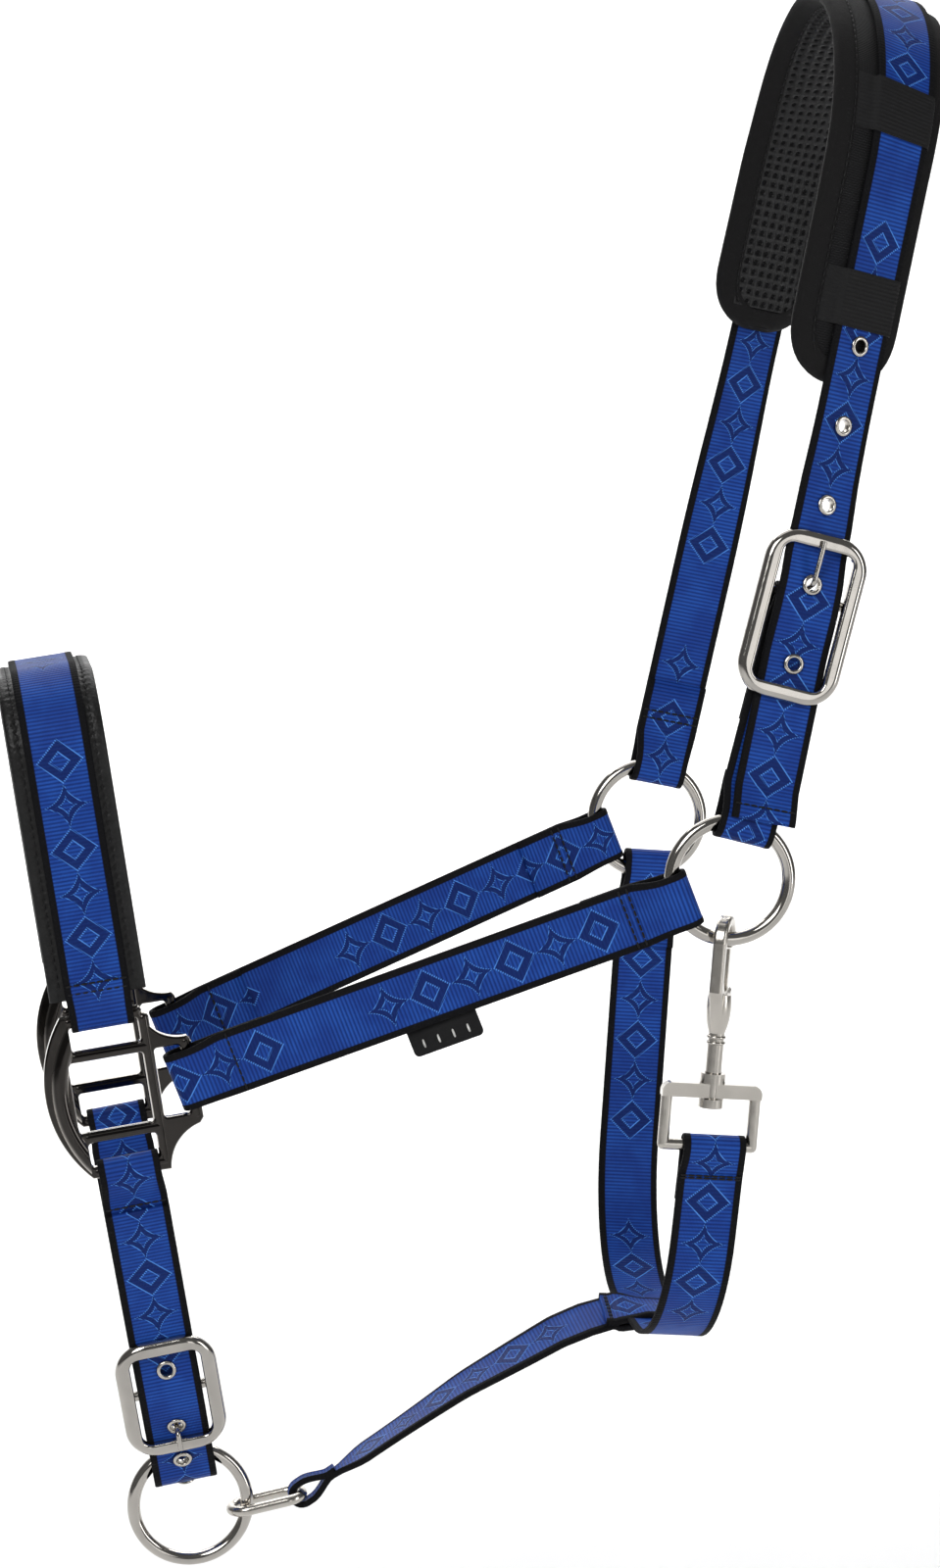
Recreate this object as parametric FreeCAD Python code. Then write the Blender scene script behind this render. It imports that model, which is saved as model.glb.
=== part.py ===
import FreeCAD, Part
import math
import os

# Head halter of 25 mm webbing for a full-size horse.
# Working frame: the origin is midway between the two side rings, +X points from the
# muzzle to the neck, the horse's left (near) side is -Y, its right (far) side is +Y, +Z is up.
# Every solid is moved at the end so that the origin lies on the poll seat of the crown pad.
V = FreeCAD.Vector

# ---- driving dimensions, in millimetres and degrees
WEB_W = 25.0             # webbing width
WEB_T = 1.6              # webbing thickness
LOOP_W = 22.0            # webbing gathers to this width where it passes round a ring
RUN = 0.2                # air left between two pieces of webbing

RING_R = 22.6            # wire centre radius of the three rings: 40 mm inside
WIRE_R = 2.6             # radius of the ring wire
RING_HALF_SPAN = 85.0    # side rings from the symmetry plane

# sewn strap ends, measured from their foot: near and far ends of the wire's gap, half the gap's
# height, and where the two layers meet
RING_EYE = (16.2, 25.7, 3.9, 35.0)
THROAT_RING_EYE = (14.7, 25.6, 3.4, 33.0)
CHEEK_RING_EYE = (16.2, 25.6, 3.6, 35.0)
CHEEK_BAR_EYE = (-5.4, 5.2, 3.5, 14.0)
BAR_EYE = (-2.7, 2.6, 2.9, 10.0)
CHIN_BAR_EYE = (-3.0, 4.0, 3.1, 12.5)
JAW_EYE = (-13.2, 13.2, 1.3, 19.0)
JAW_TIP_EYE = (-3.5, 2.6, 3.1, 12.0)
THROAT_LOOP_W = 21.0     # gathered width in the far ring, which the throat strap shares
CHEEK_LOOP_W = 21.6
CHEEK_BAR_W = 23.0
BAR_LOOP_W = 24.0
CHIN_LOOP_W = 23.6
END_S = 38.0             # a ring's sewn end is drawn up to here
END_REACH = 30.0         # a bar's sewn end is drawn up to here
OVERLAP = 2.0            # drawn ends and routes share this length

CROWN_TILT = 12.0        # crown plane leans back over the poll
CROWN_TOP = 340.0        # height of the crown strap above the ring axis, in its plane
CROWN_TOP_HALF = 71.6    # half width of the crown where its sides reach the top line
CROWN_BEND = 73.0        # bend radius over the poll
CROWN_SET_BACK = 6.0     # the crown strap passes the near ring this far behind its middle
BULGE = 5.8              # the billet's tip rides this high over the chape's eye

PAD_W = 44.0             # crown pad width
PAD_SHIFT = -3.0         # pad reaches further forward than back of the strap
PAD_T = 8.7              # crown pad thickness
PAD_START = 190.0        # pad's near end above the ring axis
PAD_FAR_START = 208.0    # and its far end: the pad has slid towards the buckle
KEEPERS = (-153, -81, 81, 153)   # keepers' middles from the pad's middle
PAD_BIND = 4.0           # width of the edge binding
PAD_COVER_T = 1.6        # pad's outer cover
PAD_LINING_T = 1.2       # pad's perforated lining
KEEPER_L = 21.0          # length of an elastic keeper along the strap
KEEPER_T = 0.9

SQUARE_POS = V(-230.0, 0, -82.0)   # middle of the square fittings, on the symmetry plane
SQUARE_HALF_SPAN = 46.0            # square fittings from the symmetry plane
NOSE_TILT = 8.5                    # nose plane leans forward at its top
SQUARE_T = 4.0                     # casting thickness
SQUARE_ROD_R = 2.25                # its bars are nearly round
LOBE_R = 3.7                       # its front edge swells to a rib of this radius
TOP_BAR = 28.8                     # noseband bar above the fitting's middle
BOTTOM_BAR = -30.2                 # chin bar below the fitting's middle
OUTER_BAR = 29.5                   # cheek bar behind the fitting's middle

NOSE_TOP = 160.0         # top of the noseband above the fitting's middle
NOSE_TOP_HALF = 49.0
NOSE_BEND = 31.0
NOSE_PAD_W = 37.0        # width of the noseband's leather-look sleeve
NOSE_PAD_T = 5.0
NOSE_SKIN_T = 0.9

THROAT_TILT = 4.5        # throat plane leans forward at its bottom
THROAT_DEPTH = 189.0     # bottom of the throat strap below the ring axis
THROAT_HALF = 74.0
THROAT_BEND = 58.0
THROAT_SHIFT = 2.5       # throat loop sits this far back on the far ring

CHIN_TILT = 9.64         # chin plane leans back at its bottom
CHIN_APEX = 158.3        # the two sides would meet this far below the chin bars
CHIN_RING_DROP = 181.0   # chin ring's centre below the fitting's middle
CHIN_BEND = 7.3          # inner bend radius where the chin strap passes through the ring
CHIN_SHIFT = 0.4         # chin plane sits this far back of the fitting's middle

BUCKLE_W = 40.0
CROWN_BUCKLE_L = 64.5
CROWN_BAR_UP = 7.4       # the crown buckle's bar lies this far above its frame's middle
CHIN_BUCKLE_L = 51.6
BUCKLE_BAR = 6.0         # width of the frame's bars
BUCKLE_T = 3.2
PIN_R = 1.9              # radius of a buckle's centre bar
CROWN_BAR_S = 109.4      # crown buckle's centre bar above the ring axis
CHIN_BAR_S = 102.0       # chin buckle's centre bar below the chin bar of the fitting
TONGUE_R = 1.0
TONGUE_FIT = 0.1         # running clearance of a tongue on its centre bar

EYELET_R = 3.8           # outer radius of an eyelet's flange
EYELET_HOLE_R = 2.3
EYELET_T = 0.3           # the outer flange stands this far off the webbing
EYELET_INNER = 0.15      # the inner flange stands this far off the webbing
EYELET_SUNK = 0.35       # depth to which the flanges are pressed into the webbing
EYELET_WALL = 0.45
EYELET_FIT = 0.02
EYELET_PITCH = 30.2
EYELET_UP = 5.0          # the crown's used eyelet lies this far above the buckle's bar

EYE_W = 38.5             # snap's square eye, outside
EYE_TOP = -78.0          # top of the eye, from the ring axis
EYE_ROD_R = 2.2
EYE_ROD = -102.0         # the eye's strap rod
EYE_BAR = 5.4            # height of the eye's top bar
EYE_BAR_T = 4.6
NECK_R = 2.5             # the hook's neck, which turns in the eye's bar
NECK_FIT = 0.08
COLLAR_R = 4.8
COLLAR_T = 3.8
HEAD_R = 4.7             # rivet head under the eye's bar
HEAD_T = 3.4
END_FLOAT = 0.3          # the swivel's play along its shank, at each end
SNAP_TURN = 24.0         # rest turn of the hook about its shank
HOOK_T = 5.0             # thickness of the hook across its plane
SPINDLE_R = 4.8
SPINDLE_LOW = -58.5
SPINDLE_HIGH = -43.6
SHANK_BEADS = (-60.0, -62.2)
HOOK_IN = 5.6            # inner half width of the hook
HOOK_BAR = 4.2           # width of the hook's bar
HOOK_TOP = -13.5         # top of the hook
HOOK_NOSE = -26.6        # end of the hook's nose, above the gate
SHANK_TOP = -54.0
SHANK_R = 3.1
GATE_PIVOT = -45.0       # gate's pivot
GATE_TIP = -27.2
GATE_X = 7.6             # gate's pivot and lever across the hook
GATE_T = 2.2
GATE_PIN_R = 0.9

LINK_WIRE_R = 2.1
LINK_L = 33.0
LINK_W = 17.4
LINK_X = -168.8          # link's middle, ahead of the ring axis
LINK_Z = -260.6
LINK_RISE = 2.9          # link's back end above its middle
JAW_W = 24.0
JAW_TIP_W = 5.5          # the jaw strap is folded to this width through the link
TAPER_START = 14.0       # it widens from here, measured from the link's wire,
TAPER_END = 40.0         # and has its full width again here
JAW_HIGH = (-52.0, -195.0)   # bends of the jaw strap, in X and Z
JAW_TURN = (-90.0, -215.5)

TAB_L = 28.0             # size tab along the strap
TAB_DROP = 10.5          # it shows this far under the strap
TAB_S = 97.5             # its middle from the fitting's outer bar
TAB_T = 0.8


# ---- placing and drawing helpers
class Plane:
    """A plane with an origin and two directions, for flat outlines and strap routes."""

    def __init__(self, origin, across, up):
        self.origin = origin
        self.across = across
        self.up = up

    def point(self, a, b):
        return self.origin + self.across * a + self.up * b

    def direction(self, a, b):
        return (self.across * a + self.up * b).normalize()

    def side(self):
        return self.across.cross(self.up)


def moved(shape, origin, x_dir, y_dir):
    """Carries a shape drawn in local X, Y, Z to an origin and two directions."""
    z_dir = x_dir.cross(y_dir)
    matrix = FreeCAD.Matrix(x_dir.x, y_dir.x, z_dir.x, origin.x,
                            x_dir.y, y_dir.y, z_dir.y, origin.y,
                            x_dir.z, y_dir.z, z_dir.z, origin.z,
                            0, 0, 0, 1)
    return shape.transformed(matrix, copy=True)


def on_plane(shape, plane):
    return moved(shape, plane.origin, plane.across, plane.up)


def tilted(angle):
    """Upward direction leaning towards +X by the angle."""
    return V(math.sin(math.radians(angle)), 0, math.cos(math.radians(angle)))


def slab(x0, x1, y0, y1, width, mid=0.0):
    return Part.makeBox(x1 - x0, y1 - y0, width, V(x0, y0, mid - width / 2))


def prism(points, depth, mid=0.0):
    """Extrudes a closed polygon of (x, y) points along Z, centred on mid."""
    corners = [V(x, y, mid - depth / 2) for x, y in points]
    wire = Part.makePolygon(corners + [corners[0]])
    return Part.Face(wire).extrude(V(0, 0, depth))


def joined(first, *others):
    return first.fuse(list(others)).removeSplitter()


def rounded_slot(x0, x1, y0, y1, radius, depth):
    """A box with its four Z edges rounded."""
    box = slab(x0, x1, y0, y1, depth)
    edges = [e for e in box.Edges if abs(e.tangentAt(e.FirstParameter).z) > 0.9]
    return box.makeFillet(radius, edges)


# ---- strap routes: straight runs joined by tangent arcs, in a plane
class Route:
    """A centre line through points, with a bend radius at each inner point."""

    def __init__(self, points, radii):
        self.runs = []
        start = points[0]
        for i, radius in enumerate(radii):
            before, corner, after = points[i], points[i + 1], points[i + 2]
            u = self._unit(before, corner)
            v = self._unit(corner, after)
            turn = math.atan2(u[0] * v[1] - u[1] * v[0], u[0] * v[0] + u[1] * v[1])
            cut = radius * math.tan(abs(turn) / 2)
            entry = (corner[0] - u[0] * cut, corner[1] - u[1] * cut)
            leave = (corner[0] + v[0] * cut, corner[1] + v[1] * cut)
            side = math.copysign(1, turn)
            centre = (entry[0] - u[1] * radius * side, entry[1] + u[0] * radius * side)
            self.runs.append(("line", start, entry))
            self.runs.append(("arc", centre, entry, turn, radius))
            start = leave
        self.runs.append(("line", start, points[-1]))

    @staticmethod
    def _unit(p, q):
        length = math.hypot(q[0] - p[0], q[1] - p[1])
        return ((q[0] - p[0]) / length, (q[1] - p[1]) / length)

    @staticmethod
    def _run_length(run):
        if run[0] == "line":
            return math.hypot(run[2][0] - run[1][0], run[2][1] - run[1][1])
        return abs(run[3]) * run[4]

    def length(self):
        return sum(self._run_length(run) for run in self.runs)

    def at(self, s):
        """Point and unit tangent at a distance along the route."""
        for run in self.runs:
            size = self._run_length(run)
            if s <= size or run is self.runs[-1]:
                return self._on_run(run, s)
            s -= size

    def _on_run(self, run, s):
        if run[0] == "line":
            u = self._unit(run[1], run[2])
            return (run[1][0] + u[0] * s, run[1][1] + u[1] * s), u
        _, centre, entry, turn, radius = run
        swept = math.copysign(s / radius, turn)
        dx, dy = entry[0] - centre[0], entry[1] - centre[1]
        x = centre[0] + dx * math.cos(swept) - dy * math.sin(swept)
        y = centre[1] + dx * math.sin(swept) + dy * math.cos(swept)
        side = math.copysign(1, turn)
        return (x, y), (-side * (y - centre[1]) / radius, side * (x - centre[0]) / radius)

    def pieces(self, s0, s1):
        """Distances that cut the route between s0 and s1 into its lines and arcs."""
        found = []
        begin = 0.0
        for run in self.runs:
            size = self._run_length(run)
            low, high = max(s0, begin), min(s1, begin + size)
            if high - low > 1e-6:
                found.append((run[0], low, high))
            begin += size
        return found

    def off(self, s, n):
        """Point at a distance along the route and n to its left."""
        (x, y), (tx, ty) = self.at(s)
        return V(x - ty * n, y + tx * n, 0)

    def edges(self, s0, s1, n):
        made = []
        for kind, low, high in self.pieces(s0, s1):
            inset = 1e-7 * (high - low)
            a = self.off(low + inset, n)
            b = self.off(high - inset, n)
            if made:
                a = made[-1].Vertexes[-1].Point
            if kind == "line":
                made.append(Part.LineSegment(a, b).toShape())
            else:
                made.append(Part.Arc(a, self.off((low + high) / 2, n), b).toShape())
        return made

    def ribbon(self, s0, s1, n0, n1, width, mid=0.0):
        """A strap between two distances, from n0 to n1 left of the route."""
        left = self.edges(s0, s1, n1)
        right = self.edges(s0, s1, n0)
        start = Part.LineSegment(right[0].Vertexes[0].Point, left[0].Vertexes[0].Point).toShape()
        end = Part.LineSegment(right[-1].Vertexes[-1].Point, left[-1].Vertexes[-1].Point).toShape()
        wire = Part.Wire(Part.__sortEdges__(left + [end] + right + [start]))
        solid = Part.Face(wire).extrude(V(0, 0, width))
        solid.translate(V(0, 0, mid - width / 2))
        return solid


# ---- sewn strap ends, drawn along local +X from the middle of a ring or bar
def eye_profile(near, far, gap, merge):
    """Two layers that part round a wire: a face in X, Y with the wire's gap in it."""
    top = gap + WEB_T
    mid = near + gap
    outer = Part.Wire([
        Part.LineSegment(V(merge, WEB_T, 0), V(far, top, 0)).toShape(),
        Part.LineSegment(V(far, top, 0), V(mid, top, 0)).toShape(),
        Part.Arc(V(mid, top, 0), V(near - WEB_T, 0, 0), V(mid, -top, 0)).toShape(),
        Part.LineSegment(V(mid, -top, 0), V(far, -top, 0)).toShape(),
        Part.LineSegment(V(far, -top, 0), V(merge, -WEB_T, 0)).toShape(),
        Part.LineSegment(V(merge, -WEB_T, 0), V(merge, WEB_T, 0)).toShape()])
    tip = merge - WEB_T
    hole = Part.Wire([
        Part.LineSegment(V(tip, 0, 0), V(far, gap, 0)).toShape(),
        Part.LineSegment(V(far, gap, 0), V(mid, gap, 0)).toShape(),
        Part.Arc(V(mid, gap, 0), V(near, 0, 0), V(mid, -gap, 0)).toShape(),
        Part.LineSegment(V(mid, -gap, 0), V(far, -gap, 0)).toShape(),
        Part.LineSegment(V(far, -gap, 0), V(tip, 0, 0)).toShape()])
    return Part.Face(outer).cut(Part.Face(hole))


def strap_end(eye_sizes, sewn, reach, loop_w=LOOP_W, full_w=WEB_W):
    """Eye round a wire, the flap sewn back to 'sewn', and the strap out to 'reach'."""
    near, far, _, merge = eye_sizes
    eye = eye_profile(*eye_sizes).extrude(V(0, 0, full_w))
    eye.translate(V(0, 0, -full_w / 2))
    body = slab(merge, reach, 0, WEB_T, full_w)
    flap = slab(merge, sewn, -WEB_T, 0, full_w)
    end = joined(eye, body, flap)
    half_l, half_w = loop_w / 2, full_w / 2
    tip = near - WEB_T - 1
    outline = [(tip, -half_l), (far, -half_l), (merge, -half_w), (reach, -half_w),
               (reach, half_w), (merge, half_w), (far, half_l), (tip, half_l)]
    cutter = prism(outline, 60)
    cutter.rotate(V(0, 0, 0), V(1, 0, 0), 90)
    return end.common(cutter)


def towards(start, end):
    """Unit direction from one (x, y) to another."""
    length = math.hypot(end[0] - start[0], end[1] - start[1])
    return ((end[0] - start[0]) / length, (end[1] - start[1]) / length)


def foot_behind(wire, direction):
    """Where a strap's ring end is drawn from, so that its eye is centred on the wire."""
    return (wire[0] - direction[0] * RING_R, wire[1] - direction[1] * RING_R)


# ---- frames of the halter
SIDE = V(0, 1, 0)
crown_yaw = math.asin(CROWN_SET_BACK / (2 * RING_HALF_SPAN))
crown_up = tilted(CROWN_TILT)
crown_across = SIDE * math.cos(crown_yaw) - SIDE.cross(crown_up) * math.sin(crown_yaw)
crown = Plane((SIDE - crown_across) * RING_HALF_SPAN, crown_across, crown_up)
throat = Plane(V(0, 0, 0), SIDE, tilted(THROAT_TILT))
nose_up = tilted(-NOSE_TILT)
nose = Plane(SQUARE_POS, SIDE, nose_up)
nose_back = nose.side()
chin = Plane(SQUARE_POS + nose_back * CHIN_SHIFT, SIDE * -1, tilted(-CHIN_TILT))
chin_ring_mid = chin.point(0, -CHIN_RING_DROP)

nodes = {}


def keep(name, shape):
    nodes[name] = shape


# ---- rings
def ring(middle):
    return Part.makeTorus(RING_R, WIRE_R, middle, SIDE)


keep("near_ring", ring(V(0, -RING_HALF_SPAN, 0)))
keep("far_ring", ring(V(0, RING_HALF_SPAN, 0)))
keep("chin_ring", ring(chin_ring_mid))


# ---- buckles: a frame whose centre bar is set back, and a tongue on that bar.
# Drawn with X along the strap towards the billet, Y outwards and the centre bar on Z.
FRAME_LOW = 2 * WEB_T + 3 * RUN                   # underside of the frame above the centre bar's axis
FRAME_HIGH = FRAME_LOW + BUCKLE_T
TONGUE_LOOP = PIN_R + TONGUE_FIT + TONGUE_R       # centre radius of the tongue's loop
BILLET_LOW = WEB_T + RUN                          # billet lies on the chape
BILLET_OVER = TONGUE_LOOP + TONGUE_R + 2 * RUN    # billet passes over the tongue's loop


def buckle_frame(length, bar_up):
    """The bar lies bar_up above the frame's middle; the outer rim is domed outwards."""
    low, high, half_w = -length / 2 - bar_up, length / 2 - bar_up, BUCKLE_W / 2
    outer = rounded_slot(low, high, -half_w, half_w, 13.0, BUCKLE_T)
    domed = [e for e in outer.Edges if e.BoundBox.ZLength < 0.01 and e.BoundBox.ZMin > 0]
    outer = outer.makeFillet(2.7, domed)
    inner = rounded_slot(low + BUCKLE_BAR, high - BUCKLE_BAR,
                         -half_w + BUCKLE_BAR, half_w - BUCKLE_BAR, 4.0, BUCKLE_T * 2)
    frame = outer.cut(inner)
    window = [e for e in frame.Edges if abs(e.BoundBox.ZMin - BUCKLE_T / 2) < 0.01
              and e.BoundBox.ZLength < 0.01 and abs(e.BoundBox.Center.y) < half_w - BUCKLE_BAR + 0.1
              and low + BUCKLE_BAR - 0.1 < e.BoundBox.Center.x < high - BUCKLE_BAR + 0.1]
    frame = frame.makeFillet(1.2, window)
    frame.rotate(V(0, 0, 0), V(1, 0, 0), -90)
    frame.translate(V(0, FRAME_LOW + BUCKLE_T / 2, 0))
    bar_l = BUCKLE_W - BUCKLE_BAR
    bar = Part.makeCylinder(PIN_R, bar_l, V(0, 0, -bar_l / 2))
    lugs = [slab(-PIN_R, PIN_R, 0, FRAME_LOW + 1, BUCKLE_BAR / 2, side * (half_w - BUCKLE_BAR / 2))
            for side in (-1, 1)]
    return joined(frame, bar, *lugs)


def tongue(length, bar_up, bend_x, exit_x):
    """A pin looped round the centre bar, bent up through the eyelet and out to the frame."""
    lift = FRAME_HIGH + TONGUE_R + 0.3
    reach = length / 2 - bar_up - BUCKLE_BAR / 2
    pin = Route([(0, -TONGUE_LOOP), (bend_x, -TONGUE_LOOP), (exit_x, lift - 0.1), (reach, lift)],
                [2.0, 2.0])
    line = pin.edges(0, pin.length(), 0)
    end_turn = math.radians(70)
    curl = Part.Arc(line[0].Vertexes[0].Point, V(-TONGUE_LOOP, 0, 0),
                    V(TONGUE_LOOP * math.cos(end_turn), TONGUE_LOOP * math.sin(end_turn), 0))
    tip = line[-1].Vertexes[-1].Point
    section = Part.Wire(Part.makeCircle(TONGUE_R, tip, line[-1].tangentAt(line[-1].LastParameter)))
    return Part.Wire([curl.toShape()] + line).makePipeShell([section], True, True)


def chape_bar_end(sewn, reach):
    """Chape's eye round the centre bar, slotted for the tongue."""
    half = PIN_R + 0.15
    end = strap_end((-half, half, half, 9.0), sewn, reach, WEB_W - 1)
    return end.cut(slab(-8, 5.5, -8, 8, 4.0))


def eyelet_solid(ease):
    """A tube with a flange at each face of the webbing, its axis along Y."""
    out = V(0, 1, 0)
    inner_t = EYELET_INNER + EYELET_SUNK + 2 * ease
    outer_t = EYELET_T + EYELET_SUNK + 2 * ease
    return joined(Part.makeCylinder(EYELET_R + ease, inner_t, V(0, -EYELET_INNER - ease, 0), out),
                  Part.makeCylinder(EYELET_R + ease, outer_t, V(0, WEB_T - EYELET_SUNK - ease, 0), out),
                  Part.makeCylinder(EYELET_HOLE_R + EYELET_WALL + ease, WEB_T, V(0, 0, 0), out))


def eyelet():
    return eyelet_solid(0).cut(Part.makeCylinder(EYELET_HOLE_R, 6, V(0, -2, 0), V(0, 1, 0)))


def weave(bar_s, frame_top, rise_s):
    """Heights of a billet's underside above the chape's line, where it passes the buckle."""
    return [(rise_s, BILLET_LOW), (bar_s - 5, BILLET_OVER), (bar_s + 6, BILLET_OVER),
            (frame_top - 9, BILLET_LOW), (frame_top + 3, BILLET_LOW)]


class Side:
    """The straight line of a chape from its ring or bar: s along it, n outwards."""

    def __init__(self, plane, foot, lean_in):
        self.plane = plane
        self.foot = foot
        self.rise = lean_in
        self.out = (-lean_in[1], lean_in[0])

    def flat(self, s, n):
        return (self.foot[0] + self.rise[0] * s + self.out[0] * n,
                self.foot[1] + self.rise[1] * s + self.out[1] * n)

    def place(self, shape, s=0.0):
        return moved(shape, self.plane.point(*self.flat(s, 0)),
                     self.plane.direction(*self.rise), self.plane.direction(*self.out))

    def distance(self, route, s):
        """Distance along the route whose foot on the line is s."""
        low, high = 0.0, 260.0
        for _ in range(40):
            middle = (low + high) / 2
            x, y = route.at(middle)[0]
            along = (x - self.foot[0]) * self.rise[0] + (y - self.foot[1]) * self.rise[1]
            low, high = (middle, high) if along < s else (low, middle)
        return low


def on_route(shape, plane, route, distance):
    """Carries a shape to a place on the route: X along it, Y to its left."""
    (x, y), (tx, ty) = route.at(distance)
    return moved(shape, plane.point(x, y), plane.direction(tx, ty), plane.direction(-ty, tx))


def two_ended_chape(first_end, bar_s):
    """Chape from its first eye to the eye round the buckle's centre bar."""
    last = chape_bar_end(bar_s - 52, bar_s - 54)
    last = last.mirror(V(0, 0, 0), V(1, 0, 0))
    last.translate(V(bar_s, 0, 0))
    return joined(first_end, last)


def with_eyelets(strap, plane, route, distances):
    rivets = [on_route(eyelet(), plane, route, d) for d in distances]
    for d in distances:
        strap = strap.cut(on_route(eyelet_solid(EYELET_FIT), plane, route, d))
    return strap, Part.makeCompound(rivets)


# ---- crown: chape, buckle and tongue on the near side, billet over the poll
crown_wire = (-RING_HALF_SPAN, RING_R)
near_lean = towards(crown_wire, (-CROWN_TOP_HALF, CROWN_TOP))
far_lean = (-near_lean[0], near_lean[1])
near_crown = Side(crown, foot_behind(crown_wire, near_lean), near_lean)
far_crown = Side(crown, (-near_crown.foot[0], near_crown.foot[1]), far_lean)
crown_knots = [(24.0, BULGE), (26.0, BULGE), (36.1, BILLET_LOW)]
crown_frame_top = CROWN_BAR_S + CROWN_BUCKLE_L / 2 - CROWN_BAR_UP
crown_knots += weave(CROWN_BAR_S, crown_frame_top, CROWN_BAR_S - 21)
crown_knots.append((crown_frame_top + 20, 0))
crown_bends = [5, 5] + [20] * (len(crown_knots) - 3) + [CROWN_BEND, CROWN_BEND]
crown_route = Route([near_crown.flat(s, n) for s, n in crown_knots] +
                    [(-CROWN_TOP_HALF, CROWN_TOP), (CROWN_TOP_HALF, CROWN_TOP), far_crown.flat(END_S, 0)],
                    crown_bends)
crown_end = moved(strap_end(RING_EYE, 58.0, END_S + OVERLAP), crown.point(*far_crown.foot),
                  crown.direction(*far_lean), crown.direction(far_lean[1], -far_lean[0]))
billet = on_plane(crown_route.ribbon(0, crown_route.length(), 0, WEB_T, WEB_W), crown)
eyelet_s = [CROWN_BAR_S + EYELET_UP + EYELET_PITCH * i for i in range(-1, 4)]
crown_strap, crown_eyelets = with_eyelets(joined(billet, crown_end), crown, crown_route,
                                          [near_crown.distance(crown_route, s) for s in eyelet_s])
keep("crown_strap", crown_strap)
keep("crown_eyelets", crown_eyelets)

# the chape leaves the near ring's middle and crosses the billet's line at the used eyelet
chape_foot = crown.point(*near_crown.foot) - crown.side() * CROWN_SET_BACK
used_eyelet = crown.point(*near_crown.flat(CROWN_BAR_S + EYELET_UP, 0))
chape_rise = (used_eyelet - chape_foot).normalize()
chape_out = crown.direction(*near_crown.out)
crown_bar = (used_eyelet - chape_foot).Length - EYELET_UP


def on_chape(shape, s=0.0):
    return moved(shape, chape_foot + chape_rise * s, chape_rise, chape_out)


keep("crown_chape", on_chape(two_ended_chape(strap_end(RING_EYE, 40.0, 60.0), crown_bar)))
keep("crown_buckle_frame", on_chape(buckle_frame(CROWN_BUCKLE_L, CROWN_BAR_UP), crown_bar))
keep("crown_tongue", on_chape(tongue(CROWN_BUCKLE_L, CROWN_BAR_UP, 2.6, 5.6), crown_bar))


# ---- crown pad: cover, foam and perforated lining inside a bound edge
pad_begin = near_crown.distance(crown_route, PAD_START)
pad_stop = crown_route.length() - (PAD_FAR_START - END_S)


def pad_blank(inset, n0, n1):
    """A layer of the pad with round ends, drawn back from the edge by the inset."""
    begin, stop = pad_begin + inset, pad_stop - inset
    radius = PAD_W / 2 - inset
    layer = crown_route.ribbon(begin, stop, n0, n1, 2 * radius, PAD_SHIFT)
    corner = slab(-1, radius, n0 - 1, n1 + 1, 2 * radius + 2, PAD_SHIFT).cut(
        Part.makeCylinder(radius, 40, V(radius, -20, PAD_SHIFT), V(0, 1, 0)))
    for distance, turn in ((begin, 1), (stop, -1)):
        (x, y), (tx, ty) = crown_route.at(distance)
        end = corner if turn > 0 else corner.mirror(V(0, 0, 0), V(1, 0, 0))
        layer = layer.cut(moved(end, V(x, y, 0), V(tx, ty, 0), V(-ty, tx, 0)))
    return on_plane(layer, crown)


PAD_OUT = -RUN
PAD_IN = -RUN - PAD_T
keep("crown_pad_cover", pad_blank(PAD_BIND, PAD_OUT - PAD_COVER_T, PAD_OUT))
keep("crown_pad_foam", pad_blank(PAD_BIND, PAD_IN + PAD_LINING_T, PAD_OUT - PAD_COVER_T))
keep("crown_pad_lining", pad_blank(PAD_BIND, PAD_IN, PAD_IN + PAD_LINING_T))
keep("crown_pad_binding", pad_blank(0, PAD_IN, PAD_OUT).cut(pad_blank(PAD_BIND, PAD_IN - 1, PAD_OUT + 1)))


def keeper(middle):
    """An elastic band over the strap, sewn to the pad at both edges."""
    s0, s1 = middle - KEEPER_L / 2, middle + KEEPER_L / 2
    low = WEB_T + 0.15
    half = WEB_W / 2 + 0.3
    band = crown_route.ribbon(s0, s1, low, low + KEEPER_T, 2 * half + 2 * KEEPER_T)
    parts = []
    for side in (-1, 1):
        parts.append(crown_route.ribbon(s0, s1, PAD_OUT, low + KEEPER_T, KEEPER_T,
                                        side * (half + KEEPER_T / 2)))
        parts.append(crown_route.ribbon(s0, s1, PAD_OUT, PAD_OUT + KEEPER_T, 5.0, side * (half + 2.5)))
    return on_plane(joined(band, *parts), crown)


poll_distance = (pad_begin + pad_stop) / 2
keep("crown_keepers", Part.makeCompound([keeper(poll_distance + d) for d in KEEPERS]))


# ---- square fittings: one casting with a bar for each of three straps
def round_rod(start, end, radius):
    """A rod with round ends between two (x, y) points."""
    a, b = V(start[0], start[1], 0), V(end[0], end[1], 0)
    shaft = Part.makeCylinder(radius, (b - a).Length, a, b - a)
    return joined(shaft, Part.makeSphere(radius, a), Part.makeSphere(radius, b))


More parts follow.
